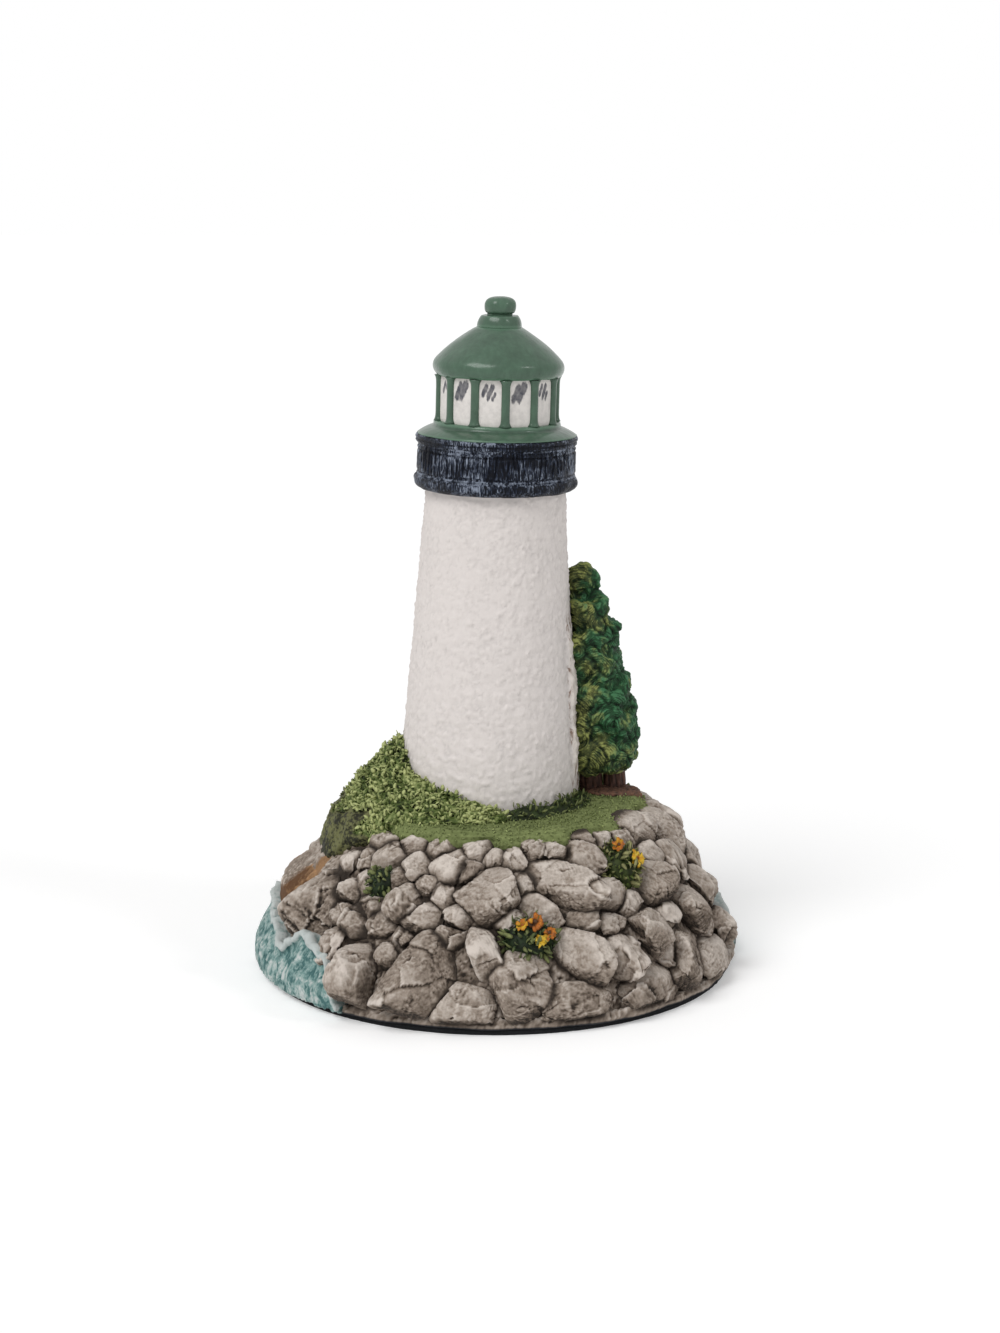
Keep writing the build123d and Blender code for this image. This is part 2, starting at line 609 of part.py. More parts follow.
def make_stems(gap=0.0):
    """The two stems, side by side, a little wider at the root, each on a peg in the mound."""
    spread = 2 * TRUNK_FLARE * TRUNK_RADIUS + TRUNK_APART
    stem = Cone(TRUNK_FLARE * TRUNK_RADIUS + gap, TRUNK_RADIUS + gap, TRUNK_HEIGHT, align=STANDING)
    stem += Pos(0, 0, -TRUNK_PEG - gap) * Cylinder(TRUNK_RADIUS + gap, TRUNK_PEG + gap, align=STANDING)
    return [Pos(*tree_line(0)) * Pos((side - 0.3) * spread / 2, 0, 0) * stem for side in (-1, 1)]


def make_tree(tower_room, stem_room):
    """Tiers of leaf clumps, fitted to each other and to the tower, with the stems let into the lowest."""
    pitch = (TREE_HEIGHT - TRUNK_HEIGHT) / TREE_TIERS
    tiers = []
    for tier in range(TREE_TIERS):
        middle = tree_line(TRUNK_HEIGHT + pitch * (tier + 0.4))
        radius = TREE_FOOT_RADIUS + (TREE_TIP_RADIUS - TREE_FOOT_RADIUS) * tier / (TREE_TIERS - 1)
        radius *= TREE_SKIRT if tier == 0 else 1
        count = max(TREE_FOOT_CLUMPS - tier, 1)
        width = CLUMP_CROWD * 2 * radius * math.sin(math.pi / max(count, 3))
        clumps = []
        for number in range(count):
            swing = math.sin(2.7 * number + 1.9 * tier)
            azimuth = 360 * (number + 0.5 * (tier % 2) + 0.12 * swing) / count - 60
            rise = (0.26 if number % 2 else -0.26) * pitch if count > 2 else 0
            place = middle + polar(azimuth, 0.45 * radius if count > 1 else 0, rise)
            plane = Plane(place, x_dir=polar(azimuth + 90, 1, 0), z_dir=polar(azimuth, 1, -0.3))
            grain = 0.9 + 0.23 * (number + 2 * tier)
            clumps.append(Lump(plane, width, CLUMP_CROWD * pitch, 0.6 * radius, 0.6 * radius, grain))
        tiers.append(clumps)
    settle([clump for clumps in tiers for clump in clumps], LEAF_GAP)
    return {f"foliage_tier_{number}": [fitted(clump.solid(), tower_room, *stem_room) for clump in clumps]
            for number, clumps in enumerate(tiers, 1)}


def make_mulch(*neighbours):
    """Brown litter on the turf in front of the tree."""
    plane = Plane(tree_line(0) + Vector(0.12 * MULCH_LENGTH, -0.2 * MULCH_BREADTH, TURF_DEPTH))
    return fitted(ConvexPolyhedron(rough_stone(plane, MULCH_LENGTH, MULCH_BREADTH, TURF_DEPTH, MULCH_DEPTH, 1.7)),
                  *neighbours)


def make_flowers(mound, boulders):
    """Clumps of leaves let in between the boulders, and the blossoms that sit on them."""
    rosette = Circle(0.5 * BLOSSOM_RADIUS)
    rosette += PolarLocations(0.55 * BLOSSOM_RADIUS, BLOSSOM_PETALS) * Circle(0.45 * BLOSSOM_RADIUS)
    blossom = extrude(rosette, BLOSSOM_DEPTH)
    pieces = {}
    for name, clump in FLOWERS.items():
        plane = on_slope(clump.azimuth, clump.up)
        dome = ConvexPolyhedron(rough_stone(plane, clump.width, clump.height, BOULDER_BED, FLOWER_STAND, 1.9))
        leaves = fitted(dome, mound, *boulders)
        pieces[f"leaves_{name}"] = leaves
        for across, rise in clump.blossoms:
            middle = plane.from_local_coords((across * clump.width, rise * clump.height, 0.8 * FLOWER_STAND))
            place = Plane(middle, x_dir=plane.x_dir, z_dir=plane.z_dir).location
            pieces.setdefault(f"blossoms_{name}", []).append(fitted(place * blossom, leaves, *boulders))
    return pieces


def main():
    felt = Cylinder(FOOT_RADIUS - FELT_INSET, FELT_THICKNESS, align=STANDING)
    tower_room = tower_wall(TOWER_GAP)
    mound = make_mound()
    groups = make_boulders(mound)
    boulders = [stone for stones in groups.values() for stone in stones]
    sea = make_sea(mound, boulders)
    beach = make_beach(mound, boulders, sea)
    flowers = make_flowers(mound, boulders)
    stems, stem_room = make_stems(), make_stems(GLUE_GAP)
    mound -= stem_room
    turf = make_turf(tower_room, boulders, stem_room)
    ivy = make_ivy(mound, turf, beach, sea, tower_room, *boulders, flowers["leaves_left"])
    fringe = make_fringe(turf, ivy, tower_room, *stem_room)
    mulch = make_mulch(turf, fringe, tower_room, *boulders, *stem_room)
    pieces = {
        "felt_pad": felt, "rock_mound": mound, "sea": sea, "beach": beach, "turf": turf, "ivy_bank": ivy,
        "grass_fringe": fringe, "mulch": mulch, "trunk_left": stems[0], "trunk_right": stems[1],
        "tower": make_tower(), **groups, **flowers, **make_tree(tower_room, stem_room),
        **make_gallery(), **make_lantern(), **make_roof(),
    }
    os.makedirs("parts", exist_ok=True)
    for name, shape in pieces.items():
        export_step(Compound(children=shape) if isinstance(shape, list) else shape, f"parts/{name}.step")


main()
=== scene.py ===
import functools
import math
import random

import bmesh
import bpy
import numpy as np
from bpy.props import FloatProperty, FloatVectorProperty, IntProperty, PointerProperty
from mathutils import Matrix, Vector


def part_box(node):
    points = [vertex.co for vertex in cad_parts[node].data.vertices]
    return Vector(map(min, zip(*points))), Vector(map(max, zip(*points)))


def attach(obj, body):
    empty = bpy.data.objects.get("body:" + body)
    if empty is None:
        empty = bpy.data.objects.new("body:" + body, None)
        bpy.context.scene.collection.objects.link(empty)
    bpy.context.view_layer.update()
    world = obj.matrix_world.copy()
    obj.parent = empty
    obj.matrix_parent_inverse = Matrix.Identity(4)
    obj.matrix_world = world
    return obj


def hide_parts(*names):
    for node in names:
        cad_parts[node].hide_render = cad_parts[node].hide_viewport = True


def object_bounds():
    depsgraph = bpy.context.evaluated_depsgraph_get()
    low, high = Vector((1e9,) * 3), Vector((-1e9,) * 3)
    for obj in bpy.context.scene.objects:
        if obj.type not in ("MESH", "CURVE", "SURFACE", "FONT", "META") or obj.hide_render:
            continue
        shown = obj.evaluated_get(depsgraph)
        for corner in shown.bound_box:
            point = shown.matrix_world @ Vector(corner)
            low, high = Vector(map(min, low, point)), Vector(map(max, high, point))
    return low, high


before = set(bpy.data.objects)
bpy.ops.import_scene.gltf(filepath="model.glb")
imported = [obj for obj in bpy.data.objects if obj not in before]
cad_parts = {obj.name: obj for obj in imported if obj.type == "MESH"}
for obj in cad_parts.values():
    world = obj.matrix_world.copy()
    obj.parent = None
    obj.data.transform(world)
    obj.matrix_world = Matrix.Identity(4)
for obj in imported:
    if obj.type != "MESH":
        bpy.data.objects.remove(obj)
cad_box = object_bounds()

bl_info = {
    "name": "Lighthouse Figurine",
    "version": (1, 0, 0),
    "blender": (4, 5, 0),
    "location": "3D View > Sidebar > Figurine",
    "description": "Details and paints a lighthouse figurine, piece by piece, round its packed solids",
    "category": "Object",
}

# The mesh code works in millimetres, as the solids were drawn, and turns to metres in modelled.
MM = 0.001
MERGE = 0.001 * MM  # corners nearer to each other than this are one corner
FULL_TURN = 2 * math.pi

# Radius and height of the mound's slope at its foot and its brow, and how far it bulges between them.
SLOPE_FOOT = (41.4, 2.4)
SLOPE_BROW = (25.2, 28.5)
SLOPE_BULGE = 2.2
SLOPE_OUT, SLOPE_UP = 0.85, 0.53  # which way the slope faces: outwards and up
FELT_TOP = 1.0
FOOT_RADIUS = 43.0
FOOT_LINE = (0.020, 0.021, 0.026)  # colour of the dark line where the foot meets the felt

# The foot of the tower, and how high above it each piece of the tower begins.
TOWER_FOOT = Vector((-1.5, 0.6, 28.0))
TOWER_LEAN = math.radians(1.4)
TOWER_TURN = np.array(Matrix.Rotation(TOWER_LEAN, 3, "Y"))
TOWER_HEIGHT = 58.9
PARAPET_FOOT = 60.9
RAIL_FOOT = 66.5
DECK_FOOT = 68.0
PANE_FOOT = 70.3
ROOF_FOOT = 78.3
VENT_FOOT = 86.7
FINIAL_FOOT = 88.7

# Radius of the tower at its foot, how much of it is lost to the top, and how far the wall bows in.
WALL_RADIUS, WALL_TAPER, WALL_BOW = 16.6, 4.3, 0.8
GALLERY_RADIUS = 14.0
SCRIBES = 88  # lines scribed up and down the parapet
SCRIBE_WIDTH = 0.013  # half the width of such a line, in radians
PANES = 12
FIRST_CORNER = math.radians(-82.5)
PANE_RADIUS = 10.4
PANE_RISE = 1.6  # height of a pane, as a share of half its width

TREE_MIDDLE = 19.0  # how far the middle of the evergreen lies to the right
TREE_TILT = 0.11  # how far its middle leans towards the tower, for each millimetre up
WHORL_SPACING = 3.5
BOULDER_SPREAD = 0.08  # how far a boulder is spread sideways, so that it meets its neighbours
BOULDER_EDGE = 17  # how sharp the edges of a boulder are
# Plane above which no boulder of the left slope stands, so that the beach shows: facing and distance.
BEACH_SIDE = (np.array((-0.60, 0.19, 0.78)), 31.8)
BEACH_AZIMUTH = 199.5  # where sand lies between the boulders, in degrees

# How the largest boulders are shaped: near which place, the ways each is stretched and how far, then
# the way each cut faces and how much it leaves.
BOULDER_SHAPES = (
    ((14.1, -36.7, 12.0),
     ((0.76, -0.34, -0.55, 1.06), (0.65, 0.40, 0.65, 0.74)),
     ((-0.60, 0.0, -0.80, 0.88), (0.80, 0.0, 0.60, 0.90), (0.35, -0.60, 0.72, 0.90),
      (-0.45, -0.75, -0.48, 0.82))),
    ((-12.4, -39.3, 9.0), (),
     ((-0.78, 0.0, 0.62, 0.64), (0.70, 0.0, -0.70, 0.82), (-0.50, -0.50, 0.70, 0.76),
      (0.15, -0.97, 0.10, 0.90))),
    ((11.2, -30.4, 22.6),
     ((0.92, -0.21, -0.33, 1.28), (0.39, 0.49, 0.78, 0.82)),
     ((-0.55, 0.0, -0.83, 0.84), (0.50, 0.0, 0.86, 0.90), (0.10, -0.50, 0.86, 0.86),
      (-0.10, -0.97, 0.10, 0.92))),
    ((-1.2, -33.4, 21.6), (),
     ((-0.20, -0.55, 0.80, 0.86), (0.20, -0.86, -0.45, 0.86), (0.70, -0.60, 0.35, 0.86))),
    ((4.3, -40.7, 8.2), (),
     ((0.0, -0.60, 0.80, 0.86), (0.50, -0.76, -0.40, 0.84), (-0.65, -0.70, 0.25, 0.86))),
)

BOULDER_NODES = ("shore_boulders", "left_boulders", "middle_boulders", "right_boulders", "brow_boulders",
                 "back_boulders")
FOLIAGE_NODES = tuple(f"foliage_tier_{tier}" for tier in range(1, 8))
MULLION_NODES = tuple(f"mullion_{number:02d}" for number in range(1, PANES + 1))

# Where the sea's crest runs: azimuth and height, from the right of the back round to the front left.
SEA_RUN = (
    (0, 4), (9, 9), (22, 7.5), (38, 9.5), (54, 7.5), (72, 9.5), (90, 7.5), (108, 9.5), (126, 8), (144, 10),
    (160, 10), (174, 12), (187, 12.6), (198, 11), (207, 8.5), (216, 12), (225, 10), (233, 3),
)
# How thick the lip of the crest is, by azimuth.
SEA_LIPS = ((0, 0.8), (190, 0.7), (206, 1.0), (216, 1.7), (233, 1.6))
SEA_RADIUS = FOOT_RADIUS + 0.85
SEA_SECTIONS, SEA_AROUND = 640, 60  # how many sections the sea has, and points round each

# Dark strokes on the panes: from and to, across a pane (-1 to 1) and up it (0 to 1), and half the width.
PANE_STROKES = (
    ((-0.46, 0.60, -0.16, 0.82, 0.17), (-0.10, 0.62, 0.22, 0.84, 0.20), (0.22, 0.72, 0.40, 0.85, 0.10)),
    ((-0.48, 0.68, -0.26, 0.84, 0.12), (-0.16, 0.62, 0.14, 0.84, 0.13), (0.14, 0.58, 0.30, 0.70, 0.09)),
    ((-0.52, 0.62, 0.02, 0.84, 0.14), (-0.06, 0.60, 0.36, 0.78, 0.12), (0.20, 0.82, 0.44, 0.88, 0.08)),
    ((-0.56, 0.44, -0.30, 0.70, 0.10), (-0.46, 0.66, -0.08, 0.86, 0.14)),
    ((-0.20, 0.66, 0.12, 0.82, 0.12), (0.30, 0.74, 0.44, 0.84, 0.08)),
)

# How yellow each blossom is, from 0, brown and orange, to 1, bright yellow.
BLOSSOM_HUES = {"blossoms_front": (0.62, 0.36, 0.95, 0.42), "blossoms_side": (0.45, 0.80)}
BLOSSOM_HEART = (0.070, 0.030, 0.010)
BLOSSOM_GLINT = (0.74, 0.58, 0.10)
BLOSSOM_UP = 0.52  # how far a blossom faces up, beside how far it faces outwards

# Which way the light of each lamp runs, where the camera stands, in metres, and how far it looks down.
KEY_WAY = (0.43, 0.50, -0.75)
KICKER_WAY = (-0.73, 0.41, -0.55)
CAMERA_PLACE = (0.0, -0.450, 0.150)
CAMERA_PITCH = math.radians(12.02)
FLOOR_REACH = 3000.0


# Settings that a user would change

def paint_colour(label, note, colour):
    return FloatVectorProperty(name=label, description=note, subtype="COLOR", size=3, min=0, max=1,
                               default=colour)


def depth(label, note, millimetres):
    return FloatProperty(name=label, description=note, unit="LENGTH", precision=5, default=millimetres * MM)


def strength(label, note, value):
    return FloatProperty(name=label, description=note, min=0, default=value)


class RockFinish(bpy.types.PropertyGroup):
    """Paint and relief of the boulders and the mound."""

    # The wash also paints the shade in the crevices and on the undersides of the boulders; worn and dust
    # also paint the highlight on their tops and raised parts.
    wash_and_shade: paint_colour("Wash", "Dark wash that lies in the crevices", (0.036, 0.027, 0.021))
    stone: paint_colour("Stone", "Main colour of the boulders", (0.158, 0.122, 0.094))
    worn: paint_colour("Worn", "Lighter colour where the stone is worn", (0.330, 0.272, 0.224))
    dust_and_highlight: paint_colour("Dust", "Pale dry brushing on the tops and edges", (0.700, 0.625, 0.560))
    lump: depth("Lumps", "Depth of the broad hollows in a boulder", 0.45)
    crack: depth("Cracks", "Depth of the cracks", 0.30)
    hatch: depth("Hatching", "Depth of the tooled scratches", 0.14)
    rough: depth("Roughness", "Depth of the rough surface", 0.22)
    seed: IntProperty(name="Seed", description="Which chips each boulder has lost", default=11)


class SeaFinish(bpy.types.PropertyGroup):
    """Paint of the sea and the beach."""

    deep: paint_colour("Deep", "Troughs of the sea", (0.045, 0.130, 0.128))
    shallow: paint_colour("Shallow", "Faces of the swells", (0.165, 0.285, 0.270))
    light: paint_colour("Light", "Lightest strokes of the water", (0.330, 0.430, 0.410))
    foam: paint_colour("Foam", "Crests and streaks", (0.520, 0.560, 0.545))
    sand: paint_colour("Sand", "The beach", (0.330, 0.190, 0.095))
    wet_sand: paint_colour("Wet sand", "Hollows of the beach", (0.120, 0.060, 0.028))
    chop: depth("Chop", "Height of the small waves", 0.65)


class PlantFinish(bpy.types.PropertyGroup):
    """Paint and relief of everything that grows."""

    turf: paint_colour("Turf", "The lawn", (0.200, 0.236, 0.092))
    turf_shade: paint_colour("Turf shade", "Grain of the lawn", (0.085, 0.108, 0.034))
    ivy_dark: paint_colour("Ivy hollows", "Hollows of the ivy bank", (0.010, 0.018, 0.003))
    ivy: paint_colour("Ivy", "The ivy between hollows and tips", (0.085, 0.120, 0.026))
    ivy_tip: paint_colour("Ivy tips", "Dry-brushed tips of the ivy", (0.440, 0.480, 0.205))
    olive: paint_colour("Olive", "Smooth patch at the foot of the ivy", (0.120, 0.122, 0.050))
    # The leaf hollow colour also paints the shade in the seams and under the clumps.
    leaf_dark: paint_colour("Leaf hollows", "Hollows of the evergreen", (0.004, 0.014, 0.005))
    leaf: paint_colour("Leaf", "Evergreen on its seaward side", (0.012, 0.058, 0.020))
    leaf_light: paint_colour("Leaf light", "Combed strokes on the seaward side", (0.060, 0.185, 0.085))
    leaf_olive: paint_colour("Leaf olive", "Evergreen towards tower and ground", (0.068, 0.080, 0.024))
    leaf_tip: paint_colour("Leaf tips", "Combed strokes towards the tower", (0.290, 0.320, 0.095))
    grass: paint_colour("Grass", "Grass at the foot of the tower", (0.060, 0.092, 0.026))
    grass_light: paint_colour("Grass tips", "Tips of the grass", (0.300, 0.340, 0.130))
    flower_leaf: paint_colour("Flower leaves", "Leaves of the flower clumps", (0.032, 0.058, 0.022))
    flower_leaf_light: paint_colour("Flower leaf tips", "Tips of the paler leaves", (0.480, 0.470, 0.210))
    bark: paint_colour("Bark", "The two stems", (0.066, 0.028, 0.018))
    mulch: paint_colour("Mulch", "Litter under the evergreen", (0.105, 0.050, 0.030))
    yellow: paint_colour("Yellow petals", "Tips of the blossoms", (0.590, 0.370, 0.018))
    orange: paint_colour("Orange petals", "Hearts of the blossoms", (0.440, 0.130, 0.012))
    curl: depth("Curl", "Depth of the curling relief of the ivy", 0.75)
    comb: depth("Combing", "Depth of the combed strokes of the evergreen", 0.26)


class TowerFinish(bpy.types.PropertyGroup):
    """Paint and relief of the tower and its gallery."""

    white: paint_colour("White", "The tower wall", (0.690, 0.642, 0.617))
    cream: paint_colour("Cream", "Plaster between the tower and the evergreen", (0.800, 0.735, 0.665))
    stain: paint_colour("Stain", "Brown marks beside the evergreen", (0.190, 0.110, 0.070))
    navy: paint_colour("Navy", "The gallery", (0.004, 0.005, 0.009))
    navy_light: paint_colour("Navy light", "Thin paint on the gallery", (0.028, 0.038, 0.066))
    navy_brush: paint_colour("Navy brushing", "Dry brushing on the gallery", (0.270, 0.310, 0.390))
    stucco: depth("Stucco", "Depth of the stucco", 0.46)
    scribe: depth("Scribing", "Depth of the scribed balusters", 0.32)


class LanternFinish(bpy.types.PropertyGroup):
    """Paint of the lantern and the roof."""

    green: paint_colour("Green", "Lantern, mullions, roof, vent and finial", (0.060, 0.112, 0.074))
    pane: paint_colour("Panes", "The panes", (0.740, 0.700, 0.668))
    smudge: paint_colour("Smudges", "Dark strokes on the panes", (0.036, 0.038, 0.056))


class FeltFinish(bpy.types.PropertyGroup):
    """The felt under the foot."""

    felt: paint_colour("Felt", "The felt pad", (0.017, 0.018, 0.020))
    fuzz: depth("Fuzz", "How ragged the cut edge of the felt is", 0.26)


class StudioSettings(bpy.types.PropertyGroup):
    """Camera and light."""

    lens: FloatProperty(name="Lens", description="Focal length", unit="CAMERA", default=69.35)
    sun: strength("Key light", "Strength of the soft key light", 1.70)
    kicker: strength("Second light", "Strength of the weaker light at the right", 0.34)
    sky: strength("Fill light", "Strength of the even light from all sides", 0.395)


# Node trees

def maths(operation, reflected=False):
    """A method that adds one Math node, for an operator between flows and numbers."""

    def method(self, other=0.0):
        first, second = (other, self) if reflected else (self, other)
        return self.bench.node("ShaderNodeMath", {"operation": operation}, {0: first, 1: second})

    return method


class Flow:
    """What comes out of a node. Sums written with it add Math nodes to the same tree."""

    __add__, __radd__ = maths("ADD"), maths("ADD", True)
    __sub__, __rsub__ = maths("SUBTRACT"), maths("SUBTRACT", True)
    __mul__, __rmul__ = maths("MULTIPLY"), maths("MULTIPLY", True)
    __truediv__, __pow__ = maths("DIVIDE"), maths("POWER")
    __abs__, wave = maths("ABSOLUTE"), maths("SINE")
    least, most = maths("MINIMUM"), maths("MAXIMUM")

    def __init__(self, bench, socket):
        self.bench = bench
        self.socket = socket

    def between(self, low, high):
        """0 below the low value, 1 above the high one, eased between them."""
        return self.bench.node("ShaderNodeMapRange", {"interpolation_type": "SMOOTHSTEP"},
                               {"Value": self, "From Min": low, "From Max": high})

    def beside(self, out):
        """Another output of the same node."""
        return Flow(self.bench, self.socket.node.outputs[out])


class Bench:
    """A node tree under construction, of a material or of Geometry Nodes."""

    def __init__(self, tree):
        self.tree = tree

    def plug(self, socket, value):
        if isinstance(value, Flow):
            self.tree.links.new(value.socket, socket)
        elif socket.type == "RGBA" and len(value) == 3:
            socket.default_value = (*value, 1.0)
        else:
            socket.default_value = value

    def node(self, kind, settings=None, sockets=None, out=0):
        """Adds a node: its settings first, then the values or links of its sockets.
        A list gives several links to one socket."""
        made = self.tree.nodes.new(kind)
        for key, value in (settings or {}).items():
            if key == "stops":
                self.set_stops(made.color_ramp, value)
            else:
                setattr(made, key, value)
        for key, value in (sockets or {}).items():
            for part in value if isinstance(value, list) else [value]:
                self.plug(made.inputs[key], part)
        return Flow(self, made.outputs[out]) if made.outputs else None

    def set_stops(self, ramp, stops):
        while len(ramp.elements) < len(stops):
            ramp.elements.new(1.0)
        for element, (place, colour) in zip(ramp.elements, stops):
            element.position = place
            element.color = (*colour, 1.0)

    def vector(self, operation, first, second, out=0):
        second_key = "Scale" if operation == "SCALE" else 1
        return self.node("ShaderNodeVectorMath", {"operation": operation},
                         {0: first, second_key: second}, out)

    def axis(self, vector, label):
        return self.node("ShaderNodeSeparateXYZ", None, {0: vector}, label)

    def point(self, **axes):
        """A vector from its X, Y and Z; one that is left out is 0."""
        return self.node("ShaderNodeCombineXYZ", None, axes)

    def noise(self, place, per_mm, detail=3.0, roughness=0.55, distortion=0.0, out=0):
        """Cloudy noise, 0 to 1, with so many features to the millimetre."""
        return self.node("ShaderNodeTexNoise", None, {
            "Vector": place, "Scale": per_mm, "Detail": detail, "Roughness": roughness,
            "Distortion": distortion,
        }, out)

    def drawn(self, place, shape, per_mm, *settings):
        """Noise with as many more features along each axis as the shape says, so that it is drawn out."""
        return self.noise(self.vector("MULTIPLY", place, shape), per_mm, *settings)

    def stirred(self, place, per_mm, reach):
        """The place, pushed about by noise."""
        push = self.noise(place, per_mm, 2.0, out=1)
        return self.vector("ADD", place, self.vector("SCALE", push, reach))

    def cells(self, place, per_mm, feature="F1", out=0):
        """Distance to the nearest of many scattered points, in cells."""
        return self.node("ShaderNodeTexVoronoi", {"feature": feature},
                         {"Vector": place, "Scale": per_mm}, out)


class Paint(Bench):
    """A material under construction."""

    def __init__(self, name):
        self.material = bpy.data.materials.new(name)
        self.material.use_nodes = True
        super().__init__(self.material.node_tree)
        self.shader = self.tree.nodes["Principled BSDF"]

    def place(self):
        """The place on the piece, in millimetres."""
        return self.vector("SCALE", self.node("ShaderNodeTexCoord", out="Object"), 1 / MM)

    def field(self, name):
        """A value that the mesh carries."""
        return self.node("ShaderNodeAttribute", {"attribute_name": name}, out="Fac")

    def blend(self, share, first, second):
        return self.node("ShaderNodeMix", {"data_type": "RGBA"}, {0: share, 6: first, 7: second}, 2)

    def ramp(self, share, *stops):
        return self.node("ShaderNodeValToRGB", {"stops": stops}, {0: share})

    def facing_up(self):
        """1 where the surface faces straight up, -1 straight down."""
        return self.axis(self.node("ShaderNodeNewGeometry", out="Normal"), "Z")

    def bump(self, height, millimetres, strength):
        return self.node("ShaderNodeBump", None, {
            "Strength": strength, "Distance": millimetres * MM, "Height": height,
        })

    def finish(self, colour, roughness, **sockets):
        """Plugs colour, roughness and the rest into the shader; underscores stand for spaces."""
        for key, value in {"Base_Color": colour, "Roughness": roughness, **sockets}.items():
            self.plug(self.shader.inputs[key.replace("_", " ")], value)
        return self.material


class Recipe(Bench):
    """A Geometry Nodes tree under construction, with named inputs."""

    def __init__(self, name, **sizes):
        super().__init__(bpy.data.node_groups.new(name, "GeometryNodeTree"))
        face = self.tree.interface
        face.new_socket(name="Geometry", in_out="OUTPUT", socket_type="NodeSocketGeometry")
        face.new_socket(name="Geometry", in_out="INPUT", socket_type="NodeSocketGeometry")
        face.new_socket(name="Material", in_out="INPUT", socket_type="NodeSocketMaterial")
        for label, default in sizes.items():
            kind = "NodeSocketInt" if isinstance(default, int) else "NodeSocketFloat"
            face.new_socket(name=label, in_out="INPUT", socket_type=kind).default_value = default
        self.inputs = self.node("NodeGroupInput")

    def __getitem__(self, label):
        """One of the tree's named inputs."""
        return self.inputs.beside(label)

    def place(self):
        """The place on the piece, in millimetres."""
        return self.vector("SCALE", self.node("GeometryNodeInputPosition"), 1 / MM)

    def field(self, name, kind="FLOAT"):
        """A value that the mesh carries."""
        return self.node("GeometryNodeInputNamedAttribute", {"data_type": kind}, {"Name": name})

    def any_value(self, low, high, seed=0):
        """A random value for each point: a number, or a vector where the limits are vectors."""
        if isinstance(low, tuple):
            kind, first, out = "FLOAT_VECTOR", 0, 0
        else:
            kind, first, out = "FLOAT", 2, 1
        return self.node("FunctionNodeRandomValue", {"data_type": kind},
                         {first: low, first + 1: high, "Seed": seed}, out)

    def moved(self, geometry, **places):
        return self.node("GeometryNodeSetPosition", None, {"Geometry": geometry, **places})

    def raised(self, height):
        """The given geometry with its surface moved out along its normals by a height in metres."""
        offset = self.vector("SCALE", self.node("GeometryNodeInputNormal"), height)
        return self.moved(self["Geometry"], Offset=offset)

    def marked(self, geometry, name, value, domain="POINT"):
        """The geometry with a value stored on its points or instances."""
        return self.node("GeometryNodeStoreNamedAttribute", {"data_type": "FLOAT", "domain": domain},
                         {"Geometry": geometry, "Name": name, "Value": value})

    def worn(self, geometry, **fields):
        """The geometry with how far each point stands out of its surroundings, in millimetres.
        Each field is given as the number of rings of points that count as surroundings."""
        place = self.node("GeometryNodeInputPosition")
        for name, rings in fields.items():
            even = self.node("GeometryNodeBlurAttribute", {"data_type": "FLOAT_VECTOR"},
                             {"Value": place, "Iterations": rings})
            proud = self.vector("DOT_PRODUCT", self.vector("SUBTRACT", place, even),
                                self.node("GeometryNodeInputNormal"), 1)
            geometry = self.marked(geometry, name, proud / MM)
        return geometry

    def instances(self, points, instance, **sockets):
        return self.node("GeometryNodeInstanceOnPoints", None,
                         {"Points": points, "Instance": instance, **sockets})

    def placed(self, geometry, place, turn):
        """The geometry turned about the origin and then moved."""
        return self.node("GeometryNodeTransform", None,
                         {"Geometry": geometry, "Translation": place, "Rotation": turn})

    def joined(self, *geometries):
        """Several geometries as one."""
        return self.node("GeometryNodeJoinGeometry", None, {0: list(geometries)})

    def deliver(self, geometry):
        """Ends the tree in a plain, painted mesh."""
        plain = self.node("GeometryNodeRealizeInstances", None, {"Geometry": geometry})
        painted = self.node("GeometryNodeSetMaterial", None,
                            {"Geometry": plain, "Material": self["Material"]})
        self.node("NodeGroupOutput", None, {"Geometry": painted})
        return self.tree


# Meshes and pieces

def mark(mesh, **fields):
    """Stores values on the points of a mesh; a single number goes on all of them."""
    for label, values in fields.items():
        values = np.asarray(values, np.float32)
        if values.ndim == 0:
            values = np.full(len(mesh.vertices), values)
        kind, key = ("FLOAT_VECTOR", "vector") if values.ndim == 2 else ("FLOAT", "value")
        mesh.attributes.new(label, kind, "POINT").data.foreach_set(key, values.ravel())


def mesh_points(mesh):
    """The points of a mesh, in metres."""
    points = np.zeros(len(mesh.vertices) * 3, np.float32)
    mesh.vertices.foreach_get("co", points)
    return points.reshape(-1, 3)


def new_object(name, data):
    made = bpy.data.objects.new(name, data)
    bpy.context.scene.collection.objects.link(made)
    return made


def modelled(name, points, faces, **fields):
    """A new piece from points in millimetres, with values stored on its points."""
    mesh = bpy.data.meshes.new(name)
    mesh.from_pydata((np.asarray(points) * MM).tolist(), [], faces)
    mark(mesh, **fields)
    mesh.update()
    return new_object(name, mesh)


def bake_modifiers(piece):
    """Turns what the piece's modifiers make into its plain mesh."""
    graph = bpy.context.evaluated_depsgraph_get()
    made = bpy.data.meshes.new_from_object(piece.evaluated_get(graph), preserve_all_data_layers=True,
                                           depsgraph=graph)
    piece.modifiers.clear()
    rough = piece.data
    piece.data = made
    bpy.data.meshes.remove(rough)
    return piece


def dress(piece, tree, material, slot, *nodes, **sizes):
    """Lets a Geometry Nodes tree work on the piece, and places what comes of it on the frame."""
    step = piece.modifiers.new(tree.name, "NODES")
    step.node_group = tree
    settings = {"Material": material, **sizes}
    for item in tree.interface.items_tree:
        if item.in_out == "INPUT" and item.name in settings:
            step[item.identifier] = settings[item.name]
    place_on_frame(bake_modifiers(piece), slot, *nodes)


